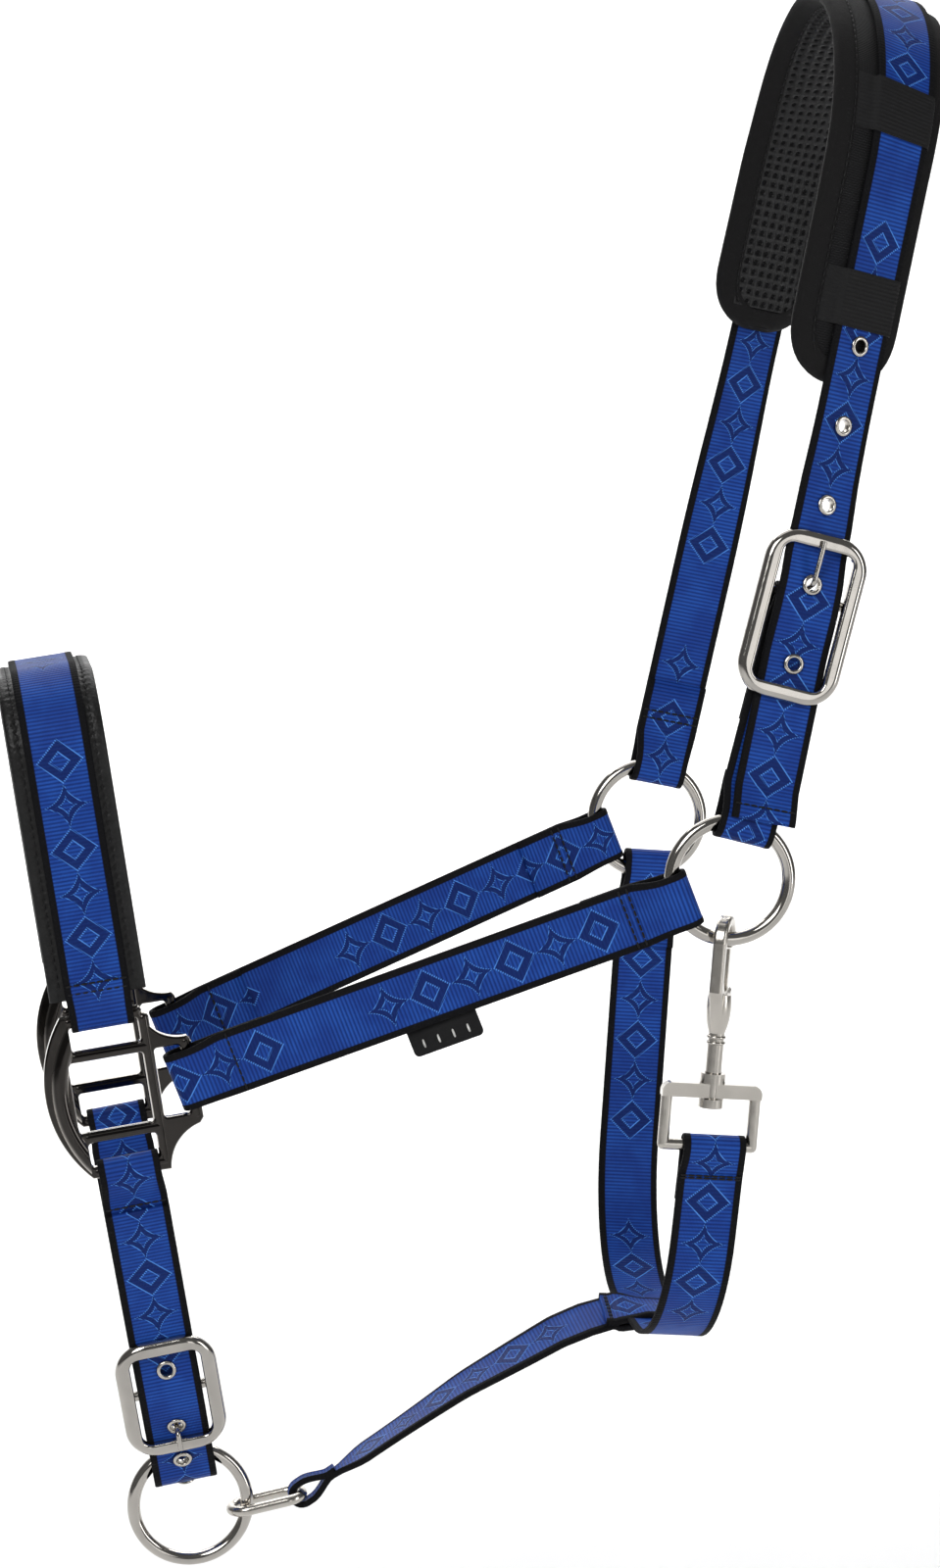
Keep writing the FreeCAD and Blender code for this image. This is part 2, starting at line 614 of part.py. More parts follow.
def square_fitting():
    top, bottom, back = TOP_BAR + 2.2, BOTTOM_BAR - 2.2, OUTER_BAR + 2.0
    half = SQUARE_T / 2
    points = [V(-16, top, 0), V(14, top, 0), V(17.5, 22, 0), V(back - 1, 16.5, 0), V(back, 15, 0),
              V(back + 0.6, -16, 0), V(back - 1, -18, 0), V(20.5, -24.5, 0), V(17, bottom - 1.4, 0),
              V(-13, bottom, 0)]
    edges = [Part.LineSegment(points[0], points[1]).toShape(),
             Part.Arc(points[1], points[2], points[3]).toShape(),
             Part.LineSegment(points[3], points[4]).toShape(),
             Part.LineSegment(points[4], points[5]).toShape(),
             Part.LineSegment(points[5], points[6]).toShape(),
             Part.Arc(points[6], points[7], points[8]).toShape(),
             Part.LineSegment(points[8], points[9]).toShape(),
             Part.Arc(points[9], V(-26, -2, 0), points[0]).toShape()]
    outline = Part.Face(Part.Wire(edges))
    body = outline.extrude(V(0, 0, SQUARE_T))
    body.translate(V(0, 0, -half))
    room = outline.extrude(V(0, 0, 4 * LOBE_R))
    room.translate(V(0, 0, -2 * LOBE_R))
    lobe = Part.makeTorus(43.7, LOBE_R, V(23.4, -1.4, 0), V(0, 0, 1)).common(room)
    lobe = lobe.common(slab(-40, -13.3, bottom + 1, top - 1, 4 * LOBE_R))
    windows = [(-13.3, 13.3, 17.2, TOP_BAR - 2.2), (-15.5, 13.3, -14.4, 13.0),
               (-12.9, 13.3, BOTTOM_BAR + 2.2, -18.7), (17.3, OUTER_BAR - 2.0, -13.6, 13.4)]
    for x0, x1, y0, y1 in windows:
        window = rounded_slot(x0, x1, y0, y1, 1.5, SQUARE_T * 4)
        body = body.cut(window)
        lobe = lobe.cut(window)
    rims = [e for e in body.Edges if e.BoundBox.ZLength < 0.01]
    post = 15.3
    bars = [((-13, TOP_BAR), (13.0, TOP_BAR)), ((-12.5, 15.1), (post, 15.1)),
            ((-12.5, -16.55), (post, -16.55)), ((-11, BOTTOM_BAR), (post, BOTTOM_BAR)),
            ((post, TOP_BAR - 3), (post, BOTTOM_BAR)), ((OUTER_BAR + 0.1, 14.0), (OUTER_BAR + 0.4, -14.5))]
    rods = [round_rod(start, end, SQUARE_ROD_R) for start, end in bars]
    return joined(body.makeFillet(0.9, rims), lobe, *rods)


for name, side in (("near_square", -1), ("far_square", 1)):
    middle = SQUARE_POS + SIDE * (side * SQUARE_HALF_SPAN)
    keep(name, moved(square_fitting(), middle, nose_back, nose_up))


# ---- noseband: a strap sewn on a padded sleeve, with an eye round each fitting's top bar
nose_lean = math.atan2(NOSE_TOP_HALF - SQUARE_HALF_SPAN, NOSE_TOP - TOP_BAR)


def nose_line(start):
    """The noseband's route, beginning and ending this far above the fittings' top bars."""
    out = SQUARE_HALF_SPAN + start * math.sin(nose_lean)
    up = TOP_BAR + start * math.cos(nose_lean)
    return Route([(-out, up), (-NOSE_TOP_HALF, NOSE_TOP), (NOSE_TOP_HALF, NOSE_TOP), (out, up)],
                 [NOSE_BEND, NOSE_BEND])


nose_route = nose_line(END_REACH - OVERLAP)
nose_parts = [on_plane(nose_route.ribbon(0, nose_route.length(), 0, WEB_T, WEB_W), nose)]
flap_room = []
for side in (-1, 1):
    foot = nose.point(side * SQUARE_HALF_SPAN, TOP_BAR)
    rise = nose.direction(side * math.sin(nose_lean), math.cos(nose_lean))
    out = nose.direction(side * math.cos(nose_lean), -math.sin(nose_lean))
    nose_parts.append(moved(strap_end(BAR_EYE, 24.0, END_REACH, BAR_LOOP_W), foot, rise, out))
    flap_room.append(moved(slab(0, 24.5, -WEB_T - RUN, 1, WEB_W + 0.6), foot, rise, out))
keep("noseband_strap", joined(*nose_parts))

sleeve_route = nose_line(12.0)


def sleeve(inset, width):
    low, high = -RUN - NOSE_PAD_T + inset, -RUN - inset
    return on_plane(sleeve_route.ribbon(0, sleeve_route.length(), low, high, width), nose)


skin = sleeve(0, NOSE_PAD_W)
core = sleeve(NOSE_SKIN_T, NOSE_PAD_W - 2 * NOSE_SKIN_T)
for room in flap_room:
    skin = skin.cut(room)
    core = core.cut(room)
keep("noseband_sleeve", skin.cut(core))
keep("noseband_foam", core)


# ---- cheek straps: from each fitting's outer bar to its side ring
def cheek_frame(side):
    """Ends of a cheek strap's line and its directions along and outwards."""
    start = SQUARE_POS + nose_back * OUTER_BAR + SIDE * (side * SQUARE_HALF_SPAN)
    centre = V(0, side * RING_HALF_SPAN, 0)
    wire = centre + V(start.x, 0, start.z).normalize() * RING_R
    along = (wire - start).normalize()
    across = V(-along.z, 0, along.x).normalize()
    out = across.cross(along) * -side
    if out.y * side < 0:
        out = out * -1
    return start, wire + along * RING_R, along, out


def cheek_strap(side):
    start, end, along, out = cheek_frame(side)
    length = (end - start).Length
    low_end = strap_end(CHEEK_BAR_EYE, 34.0, 60.0, CHEEK_BAR_W)
    high_end = strap_end(CHEEK_RING_EYE, 56.0, 60.0, CHEEK_LOOP_W)
    middle = slab(58.0, length - 58.0, 0, WEB_T, WEB_W)
    return joined(moved(joined(low_end, middle), start, along, out),
                  moved(high_end, end, along * -1, out))


for name, side in (("near_cheek_strap", -1), ("far_cheek_strap", 1)):
    keep(name, cheek_strap(side))


def size_tab():
    """A folded woven tab sewn under the near cheek strap's lower edge."""
    start, _, along, out = cheek_frame(-1)
    hidden = 5.0
    below = slab(-TAB_L / 2, TAB_L / 2, -RUN - TAB_T, -RUN, TAB_DROP + hidden,
                 (WEB_W + TAB_DROP - hidden) / 2)
    return moved(below, start + along * TAB_S, along, out)


keep("size_tab", size_tab())


# ---- chin: chape and buckle on the near side, billet from the far fitting through the chin ring
chin_lean = math.atan2(SQUARE_HALF_SPAN, CHIN_APEX)
near_chin = Side(chin, (SQUARE_HALF_SPAN, BOTTOM_BAR), (-math.sin(chin_lean), -math.cos(chin_lean)))
far_chin = Side(chin, (-SQUARE_HALF_SPAN, BOTTOM_BAR), (math.sin(chin_lean), -math.cos(chin_lean)))
chin_frame_top = CHIN_BAR_S + CHIN_BUCKLE_L / 2
chin_knots = [(18.5, BILLET_LOW)] + weave(CHIN_BAR_S, chin_frame_top, CHIN_BAR_S - 17)
chin_knots.append((chin_frame_top + 9.5, 0))
chin_route = Route([near_chin.flat(s, n) for s, n in chin_knots] +
                   [(0, BOTTOM_BAR - CHIN_APEX), far_chin.flat(END_REACH - OVERLAP, 0)],
                   [14] * (len(chin_knots) - 1) + [CHIN_BEND])
far_chin_end = moved(strap_end(CHIN_BAR_EYE, 26.0, END_REACH, CHIN_LOOP_W), chin.point(*far_chin.foot),
                     chin.direction(*far_chin.rise), chin.direction(far_chin.rise[1], -far_chin.rise[0]))
chin_billet = joined(on_plane(chin_route.ribbon(0, chin_route.length(), 0, WEB_T, WEB_W), chin),
                     far_chin_end)
chin_eyelet_s = [near_chin.distance(chin_route, CHIN_BAR_S + s) for s in (-11.7, 14.0)]
chin_eyelet_s.append(chin_route.length() - 119.0)
chin_billet, chin_eyelets = with_eyelets(chin_billet, chin, chin_route, chin_eyelet_s)
keep("chin_billet", chin_billet)
keep("chin_eyelets", chin_eyelets)
chin_first = strap_end(CHIN_BAR_EYE, 40.0, 60.0, CHIN_LOOP_W)
keep("chin_chape", near_chin.place(two_ended_chape(chin_first, CHIN_BAR_S)))
keep("chin_buckle_frame", near_chin.place(buckle_frame(CHIN_BUCKLE_L, 0), CHIN_BAR_S))
keep("chin_tongue", near_chin.place(tongue(CHIN_BUCKLE_L, 0, 11.0, 16.3), CHIN_BAR_S))


# ---- throat strap: from the far ring, under the jowl, up to the snap's eye on the near side
throat_wire = (RING_HALF_SPAN, -RING_R)
throat_near = (-RING_HALF_SPAN, EYE_ROD)
far_drop = towards(throat_wire, (THROAT_HALF, -THROAT_DEPTH))
throat_far = foot_behind(throat_wire, far_drop)
near_drop = towards(throat_near, (-THROAT_HALF, -THROAT_DEPTH))
throat_route = Route([(throat_far[0] + far_drop[0] * 38, throat_far[1] + far_drop[1] * 38),
                      (THROAT_HALF, -THROAT_DEPTH), (-THROAT_HALF, -THROAT_DEPTH),
                      (throat_near[0] + near_drop[0] * (END_REACH - OVERLAP),
                       throat_near[1] + near_drop[1] * (END_REACH - OVERLAP))],
                     [THROAT_BEND, THROAT_BEND])
throat_shift = throat.side() * THROAT_SHIFT
throat_middle = on_plane(throat_route.ribbon(0, throat_route.length(), 0, WEB_T, WEB_W), throat)
throat_top = moved(strap_end(THROAT_RING_EYE, 54.0, 40.0, THROAT_LOOP_W), throat.point(*throat_far),
                   throat.direction(*far_drop), throat.direction(-far_drop[1], far_drop[0]))
throat_low = moved(strap_end(BAR_EYE, 22.0, END_REACH, BAR_LOOP_W), throat.point(*throat_near),
                   throat.direction(*near_drop), throat.direction(near_drop[1], -near_drop[0]))
throat_middle.translate(throat_shift)
throat_top.translate(throat_shift)
throat_low.translate(throat_shift)
keep("throat_strap", joined(throat_middle, throat_top, throat_low))


# ---- jaw strap: looped round the throat strap, running forward to the link in the chin ring
jaw = Plane(V(0, 0, 0), V(1, 0, 0), V(0, 0, 1))
throat_low_point = throat.point(0, -THROAT_DEPTH - WEB_T / 2) + throat_shift
ahead = throat.side() * -1
jaw_eye = moved(strap_end(JAW_EYE, 34.0, 22.0, JAW_W, JAW_W),
                throat_low_point, ahead, ahead.cross(SIDE))
link_back = V(LINK_X + LINK_L / 2 - LINK_WIRE_R, 0, LINK_Z + LINK_RISE)
link_front = V(LINK_X - LINK_L / 2 + LINK_WIRE_R, 0, LINK_Z - LINK_RISE)
jaw_start = throat_low_point + ahead * 21.0
jaw_foot = (link_back.x, link_back.z)
jaw_in = towards(jaw_foot, JAW_TURN)
jaw_route = Route([(jaw_start.x, jaw_start.z), JAW_HIGH, JAW_TURN,
                   (jaw_foot[0] + jaw_in[0] * TAPER_END, jaw_foot[1] + jaw_in[1] * TAPER_END)], [30, 100])
jaw_band = on_plane(jaw_route.ribbon(0, jaw_route.length(), 0, WEB_T, JAW_W), jaw)
jaw_taper = prism([(TAPER_START, -JAW_TIP_W / 2), (TAPER_END, -JAW_W / 2),
                   (TAPER_END + OVERLAP, -JAW_W / 2), (TAPER_END + OVERLAP, JAW_W / 2),
                   (TAPER_END, JAW_W / 2), (TAPER_START, JAW_TIP_W / 2)], WEB_T, -WEB_T / 2)
jaw_taper.rotate(V(0, 0, 0), V(1, 0, 0), 90)
jaw_tip = joined(strap_end(JAW_TIP_EYE, 18.0, 20.0, JAW_TIP_W, JAW_TIP_W), jaw_taper)
jaw_tip = moved(jaw_tip, V(jaw_foot[0], 0, jaw_foot[1]),
                jaw.direction(*jaw_in), jaw.direction(jaw_in[1], -jaw_in[0]))
keep("jaw_strap", joined(jaw_eye, jaw_band, jaw_tip))


def oblong_link():
    """A long wire loop: two straight sides and two half rings."""
    half_w = LINK_W / 2 - LINK_WIRE_R
    half_l = LINK_L / 2 - LINK_WIRE_R - half_w
    side_a = Part.LineSegment(V(-half_l, half_w, 0), V(half_l, half_w, 0)).toShape()
    end_a = Part.Arc(V(half_l, half_w, 0), V(half_l + half_w, 0, 0), V(half_l, -half_w, 0)).toShape()
    side_b = Part.LineSegment(V(half_l, -half_w, 0), V(-half_l, -half_w, 0)).toShape()
    end_b = Part.Arc(V(-half_l, -half_w, 0), V(-half_l - half_w, 0, 0), V(-half_l, half_w, 0)).toShape()
    path = Part.Wire([side_a, end_a, side_b, end_b])
    section = Part.Wire(Part.makeCircle(LINK_WIRE_R, V(-half_l, half_w, 0), V(1, 0, 0)))
    return path.makePipeShell([section], True, True)


link_dir = (link_back - link_front).normalize()
keep("oblong_link", moved(oblong_link(), (link_back + link_front) * 0.5, link_dir, SIDE))


# ---- snap: square eye on the throat strap, swivelling hook on the near ring, sprung gate
snap_foot = throat.point(-RING_HALF_SPAN, 0)
head_top = EYE_TOP - EYE_BAR - END_FLOAT


def snap_eye():
    """Drawn in X (width) and Y (height), as the throat strap's width runs."""
    half = EYE_W / 2 - EYE_ROD_R
    shoulder = EYE_TOP - EYE_BAR / 2
    bar = slab(-EYE_W / 2, EYE_W / 2, EYE_TOP - EYE_BAR, EYE_TOP, EYE_BAR_T)
    uprights = [e for e in bar.Edges if e.BoundBox.ZLength > 4]
    tops = [e for e in uprights if e.Vertexes[0].Point.y > shoulder]
    bar = bar.makeFillet(3.4, tops)
    parts = [Part.makeSphere(EYE_ROD_R, V(half, EYE_ROD, 0)), Part.makeSphere(EYE_ROD_R, V(-half, EYE_ROD, 0)),
             Part.makeCylinder(EYE_ROD_R, 2 * half, V(-half, EYE_ROD, 0), V(1, 0, 0))]
    for side in (-1, 1):
        parts.append(Part.makeCylinder(EYE_ROD_R, shoulder - EYE_ROD, V(side * half, EYE_ROD, 0), V(0, 1, 0)))
    eye = joined(bar, *parts)
    return eye.cut(Part.makeCylinder(NECK_R + NECK_FIT, 12, V(0, EYE_TOP - 9, 0), V(0, 1, 0)))


keep("snap_eye", moved(snap_eye(), snap_foot, throat.side(), throat.up))

turn = math.radians(SNAP_TURN)
hook_across = (SIDE * math.cos(turn) + throat.side() * math.sin(turn)).normalize()


def in_hook(shape):
    return moved(shape, snap_foot, hook_across, throat.up)


def hook_spindle():
    """The round swelling of the forging, between the hook's opening and its shank."""
    low, high = V(SHANK_R, SPINDLE_LOW, 0), V(SPINDLE_R - 0.4, SPINDLE_HIGH, 0)
    swell = Part.Arc(low, V(SPINDLE_R, SPINDLE_HIGH - 5, 0), high).toShape()
    rest = Part.makePolygon([high, V(0, SPINDLE_HIGH, 0), V(0, SPINDLE_LOW, 0), low])
    return Part.Face(Part.Wire([swell] + rest.Edges)).revolve(V(0, 0, 0), V(0, 1, 0), 360)


def snap_hook():
    """Hook, shoulder, shank, collar and neck in one forging: X across the hook, Y up."""
    outer = HOOK_IN + HOOK_BAR
    crown_y = HOOK_TOP - outer
    foot = EYE_TOP + END_FLOAT + COLLAR_T
    points = [V(-outer, crown_y, 0), V(0, HOOK_TOP, 0), V(outer, crown_y, 0),
              V(outer, HOOK_NOSE, 0), V(HOOK_IN, HOOK_NOSE, 0), V(HOOK_IN, crown_y, 0),
              V(0, crown_y + HOOK_IN, 0), V(-HOOK_IN, crown_y, 0), V(-HOOK_IN, -38.0, 0),
              V(-2.0, -43.0, 0), V(4.8, -43.0, 0), V(outer, -42.0, 0), V(outer, -46.0, 0),
              V(3.2, -55.0, 0), V(-3.2, -55.0, 0), V(-outer, -42.0, 0)]
    arcs = {0: 2, 5: 7}
    edges = []
    i = 0
    while i < len(points):
        if i in arcs:
            edges.append(Part.Arc(points[i], points[i + 1], points[i + 2]).toShape())
            i = arcs[i]
        else:
            edges.append(Part.LineSegment(points[i], points[(i + 1) % len(points)]).toShape())
            i += 1
    plate = Part.Face(Part.Wire(edges)).extrude(V(0, 0, HOOK_T))
    plate.translate(V(0, 0, -HOOK_T / 2))
    rims = [e for e in plate.Edges if e.BoundBox.ZLength < 0.01]
    body = joined(plate.makeFillet(1.3, rims), hook_spindle())
    slot = slab(2.4, outer + 1, -50.0, -40.0, GATE_T + 0.6)
    pin_hole = Part.makeCylinder(GATE_PIN_R, 4 * HOOK_T, V(GATE_X, GATE_PIVOT, -2 * HOOK_T))
    shank = Part.makeCylinder(SHANK_R, SHANK_TOP - foot, V(0, foot, 0), V(0, 1, 0))
    collar = Part.makeCylinder(COLLAR_R, COLLAR_T, V(0, foot - COLLAR_T, 0), V(0, 1, 0))
    neck = Part.makeCylinder(NECK_R, foot - head_top, V(0, head_top, 0), V(0, 1, 0))
    beads = [Part.makeTorus(SHANK_R, 0.6, V(0, y, 0), V(0, 1, 0)) for y in SHANK_BEADS]
    return joined(body.cut(slot).cut(pin_hole), shank, collar, neck, *beads)


def snap_gate():
    """A lever on the gate pin, closing the gap under the hook's nose."""
    lever = slab(GATE_X - 1.4, GATE_X + 1.6, GATE_PIVOT, GATE_TIP, GATE_T)
    root = Part.makeCylinder(2.3, GATE_T, V(GATE_X, GATE_PIVOT, -GATE_T / 2))
    bore = Part.makeCylinder(GATE_PIN_R + 0.06, GATE_T + 2, V(GATE_X, GATE_PIVOT, -GATE_T / 2 - 1))
    return joined(lever, root).cut(bore)


keep("snap_hook", in_hook(snap_hook()))
keep("snap_rivet_head", in_hook(Part.makeCylinder(HEAD_R, HEAD_T, V(0, head_top - HEAD_T, 0), V(0, 1, 0))))
gate_pin = Part.makeCylinder(GATE_PIN_R, HOOK_T - 2 * RUN, V(GATE_X, GATE_PIVOT, RUN - HOOK_T / 2))
keep("snap_gate_pin", in_hook(gate_pin))
keep("snap_gate", in_hook(snap_gate()))


poll_seat = crown.point(0, CROWN_TOP - RUN - PAD_T)
os.makedirs("parts", exist_ok=True)
for name, shape in nodes.items():
    shape.translate(poll_seat * -1)
    shape.exportStep("parts/" + name + ".step")
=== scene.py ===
import math
import bpy
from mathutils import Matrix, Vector

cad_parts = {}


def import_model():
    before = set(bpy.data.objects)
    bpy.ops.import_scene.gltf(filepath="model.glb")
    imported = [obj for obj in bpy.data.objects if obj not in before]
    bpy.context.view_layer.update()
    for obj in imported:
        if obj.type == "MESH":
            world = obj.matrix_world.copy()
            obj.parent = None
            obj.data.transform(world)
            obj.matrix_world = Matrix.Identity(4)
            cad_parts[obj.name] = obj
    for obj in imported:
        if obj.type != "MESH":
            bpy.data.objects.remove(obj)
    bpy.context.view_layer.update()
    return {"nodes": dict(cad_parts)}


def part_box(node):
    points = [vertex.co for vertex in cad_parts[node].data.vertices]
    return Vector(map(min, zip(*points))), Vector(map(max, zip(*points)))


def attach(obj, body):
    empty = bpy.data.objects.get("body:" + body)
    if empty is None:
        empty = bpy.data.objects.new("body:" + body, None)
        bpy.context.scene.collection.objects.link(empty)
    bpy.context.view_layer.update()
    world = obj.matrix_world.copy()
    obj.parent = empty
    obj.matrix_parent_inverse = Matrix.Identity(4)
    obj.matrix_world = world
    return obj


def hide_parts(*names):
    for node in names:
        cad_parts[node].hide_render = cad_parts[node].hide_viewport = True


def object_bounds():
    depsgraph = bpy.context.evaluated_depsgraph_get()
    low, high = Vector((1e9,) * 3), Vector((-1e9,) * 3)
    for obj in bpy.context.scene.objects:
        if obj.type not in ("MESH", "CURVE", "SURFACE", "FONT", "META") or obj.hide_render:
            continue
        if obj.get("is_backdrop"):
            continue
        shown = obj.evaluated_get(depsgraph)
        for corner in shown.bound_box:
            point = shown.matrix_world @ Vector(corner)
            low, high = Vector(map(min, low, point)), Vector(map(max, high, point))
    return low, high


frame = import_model()
NODES = frame["nodes"]

# Everything below is drawn in millimetres from a working origin: the point midway between the two
# side rings. +X points from the muzzle to the neck, -Y is the near side and +Z is up.


def middle(node):
    low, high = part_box(node)
    return (low + high) / 2


ORIGIN = (middle("near_ring") + middle("far_ring")) / 2
MM = 0.001


def world(p):
    return ORIGIN + Vector(p) * MM


# ---- driving dimensions, in millimetres and degrees
WEB_W = 25.0
WEB_T = 1.6
PLY_N = WEB_T / 2 + 0.03    # middle of one ply above the line where two sewn plies meet
SEAM_N = WEB_T + 0.12       # middle of a thread on the face of a doubled strap
SEAM_INSET = 0.6
LOOP_W = 22.0
RUN = 0.2
RING_EYE = (16.2, 25.7, 3.9, 35.0)
RING_R = 22.6
RING_HALF_SPAN = 85.0

CROWN_TILT = 12.0
CROWN_TOP = 340.0
CROWN_TOP_HALF = 71.6
CROWN_BEND = 73.0
CROWN_SET_BACK = 6.0
CROWN_TURN = 22.0
PAD_START = 190.0
PAD_FAR_START = 208.0
KEEPERS = (-153, -81, 81, 153)
PAD_W = 47.0
PAD_SHIFT = -4.5
PAD_T = 8.7
END_S = 38.0

SQUARE_POS = Vector((-230.0, 0.0, -82.0))
SQUARE_HALF_SPAN = 46.0
NOSE_TILT = 8.5
CHIN_TILT = 9.64
CHIN_SHIFT = 0.4
TOP_BAR = 28.8
BOTTOM_BAR = -30.2
OUTER_BAR = 29.5
NOSE_TOP = 160.0
NOSE_TOP_HALF = 49.0
NOSE_BEND = 31.0
NOSE_PAD_W = 37.0

THROAT_TILT = 4.5
THROAT_DEPTH = 189.0
THROAT_HALF = 74.0
THROAT_BEND = 58.0
THROAT_SHIFT = 2.5
EYE_ROD = -102.0

CHIN_BEND = 7.3
CHIN_APEX = 158.3
CROWN_BUCKLE_L = 64.5
CROWN_BAR_UP = 7.4
CHIN_BUCKLE_L = 51.6
CROWN_BAR_S = 109.4
CHIN_BAR_S = 102.0
PIN_R = 1.9
BILLET_LOW = WEB_T + RUN
BILLET_OVER = PIN_R + 2.1 + 2 * RUN
BULGE = 5.8
EYELET_PITCH = 30.2
EYELET_UP = 5.0

JAW_W = 24.0
JAW_T = 2.3
JAW_TIP_W = 5.5
JAW_EYE = (-13.2, 13.2, 1.3, 15.5, 20.5)
JAW_TIP_EYE = (-3.9, 3.0, 3.5, 10.5, 16.0)
JAW_ROLL = 14.0
JAW_FAR_ROLL = -3.0
TAB_L = 28.0
TAB_S = 97.5
TAB_DEEP = 8.6
TAB_TUCK = -5.0
TAB_CORNER = 2.0

# sewn ends of straps, as eye() takes them
CHEEK_LOW_END = (-5.4, 5.2, 3.5, 14.0, 34.0, 23.0)
CHEEK_HIGH_END = (16.2, 25.6, 3.6, 35.0, 56.0, 21.6)
NOSE_END = (-2.7, 2.6, 2.9, 10.0, 24.0, 24.0)
CHIN_END = (-3.0, 4.0, 3.1, 12.5)
CHIN_END_W = 23.6
THROAT_HIGH_END = (14.7, 25.6, 3.4, 33.0, 54.0, 21.0)
THROAT_LOW_END = (-2.7, 2.6, 2.9, 10.0, 22.0, 24.0)

# rows of stitches across the straps, from the same bars and rings as the ends
CHEEK_LOW_SEAM = 19.0
CHEEK_HIGH_SEAM = 41.0
NOSE_SEAM = 10.5
CHIN_SEAM = 16.5
THROAT_LOW_SEAM = 11.6
THROAT_HIGH_SEAM = 40.0
CROWN_FAR_SEAM = 42.0
CHAPE_SEAM = 38.0

EYELET_HOLE_R = 2.6
EYELET_HOLE_HALF = 4.0
CHIN_EYELETS = (-11.7, 14.0, 30.6)      # from the chin buckle's bar, up the billet
CHIN_LAST_EYELET = 134.5                # from the billet's far end
SLOT_SHIFT = 1.5                        # the tongue's slot: its place past the bar, and half sizes
SLOT_HALF = (7.0, 9.0, 2.0)


# ---- flat routes: straight runs joined by tangent arcs
def unit2(a, b):
    length = math.dist(a, b)
    return ((b[0] - a[0]) / length, (b[1] - a[1]) / length)


class Route:
    """A centre line in a plane, as closely spaced points with a distance and a tangent at each."""

    def __init__(self, points, radii, step=6.0):
        self.points = []
        self.step = step
        start = points[0]
        for i, radius in enumerate(radii):
            before, corner, after = points[i], points[i + 1], points[i + 2]
            u, v = unit2(before, corner), unit2(corner, after)
            turn = math.atan2(u[0] * v[1] - u[1] * v[0], u[0] * v[0] + u[1] * v[1])
            cut = radius * math.tan(abs(turn) / 2)
            entry = (corner[0] - u[0] * cut, corner[1] - u[1] * cut)
            side = math.copysign(1, turn)
            centre = (entry[0] - u[1] * radius * side, entry[1] + u[0] * radius * side)
            self._line(start, entry)
            self._arc(centre, entry, turn)
            start = (corner[0] + v[0] * cut, corner[1] + v[1] * cut)
        self._line(start, points[-1])
        self.points.append(points[-1])
        self.s = [0.0]
        for a, b in zip(self.points, self.points[1:]):
            self.s.append(self.s[-1] + math.dist(a, b))
        self.length = self.s[-1]

    def _line(self, a, b):
        count = max(1, round(math.dist(a, b) / self.step))
        for i in range(count):
            self.points.append((a[0] + (b[0] - a[0]) * i / count, a[1] + (b[1] - a[1]) * i / count))

    def _arc(self, centre, entry, turn):
        dx, dy = entry[0] - centre[0], entry[1] - centre[1]
        radius = math.hypot(dx, dy)
        count = max(3, math.ceil(abs(turn) / math.radians(6)), math.ceil(abs(turn) * radius / self.step))
        for i in range(count):
            c, s = math.cos(turn * i / count), math.sin(turn * i / count)
            self.points.append((centre[0] + dx * c - dy * s, centre[1] + dx * s + dy * c))

    def at(self, s):
        """Point and unit tangent at a distance along the route."""
        s = min(max(s, 0.0), self.length)
        i = 0
        while i < len(self.s) - 2 and self.s[i + 1] < s:
            i += 1
        a, b = self.points[i], self.points[i + 1]
        share = (s - self.s[i]) / max(self.s[i + 1] - self.s[i], 1e-9)
        here = (a[0] + (b[0] - a[0]) * share, a[1] + (b[1] - a[1]) * share)
        before = self.points[max(i - 1, 0)]
        after = self.points[min(i + 2, len(self.points) - 1)]
        ta, tb = unit2(before, b), unit2(a, after)
        t = (ta[0] * (1 - share) + tb[0] * share, ta[1] * (1 - share) + tb[1] * share)
        size = math.hypot(*t)
        return here, (t[0] / size, t[1] / size)


class Plane:
    """A plane in space, with its across and up directions and its normal, side."""

    def __init__(self, origin, across, up):
        self.origin = Vector(origin)
        self.across = Vector(across)
        self.up = Vector(up)
        self.side = self.across.cross(self.up)

    def point(self, a, b):
        return self.origin + self.across * a + self.up * b

    def direction(self, a, b):
        return (self.across * a + self.up * b).normalized()


def tilted(angle):
    return Vector((math.sin(math.radians(angle)), 0, math.cos(math.radians(angle))))


SIDE = Vector((0, 1, 0))
crown_yaw = math.asin(CROWN_SET_BACK / (2 * RING_HALF_SPAN))
crown_up = tilted(CROWN_TILT)
crown_across = SIDE * math.cos(crown_yaw) - SIDE.cross(crown_up) * math.sin(crown_yaw)
crown = Plane((SIDE - crown_across) * RING_HALF_SPAN, crown_across, crown_up)
throat = Plane((0, 0, 0), SIDE, tilted(THROAT_TILT))
nose = Plane(SQUARE_POS, SIDE, tilted(-NOSE_TILT))
nose_back = nose.side
chin = Plane(SQUARE_POS + nose_back * CHIN_SHIFT, -SIDE, tilted(-CHIN_TILT))


class Side:
    """A straight line of strap in a plane: s along it from a ring or bar, n outwards."""

    def __init__(self, plane, foot, rise, out=None):
        self.plane = plane
        self.foot = foot
        self.rise = rise
        self.out = out or (-rise[1], rise[0])

    def flat(self, s, n):
        return (self.foot[0] + self.rise[0] * s + self.out[0] * n,
                self.foot[1] + self.rise[1] * s + self.out[1] * n)
    def mirrored(self):
        return Side(self.plane, (-self.foot[0], self.foot[1]), (-self.rise[0], self.rise[1]),
                    (-self.out[0], self.out[1]))

    def frame(self):
        return (self.plane.point(*self.foot), self.plane.direction(*self.rise),
                self.plane.direction(*self.out))

    def distance(self, route, s):
        """How far along a route it has come when level with s on this line."""
        low, high = 0.0, 260.0
        for _ in range(40):
            half = (low + high) / 2
            x, y = route.at(half)[0]
            along = (x - self.foot[0]) * self.rise[0] + (y - self.foot[1]) * self.rise[1]
            low, high = (half, high) if along < s else (low, half)
        return low


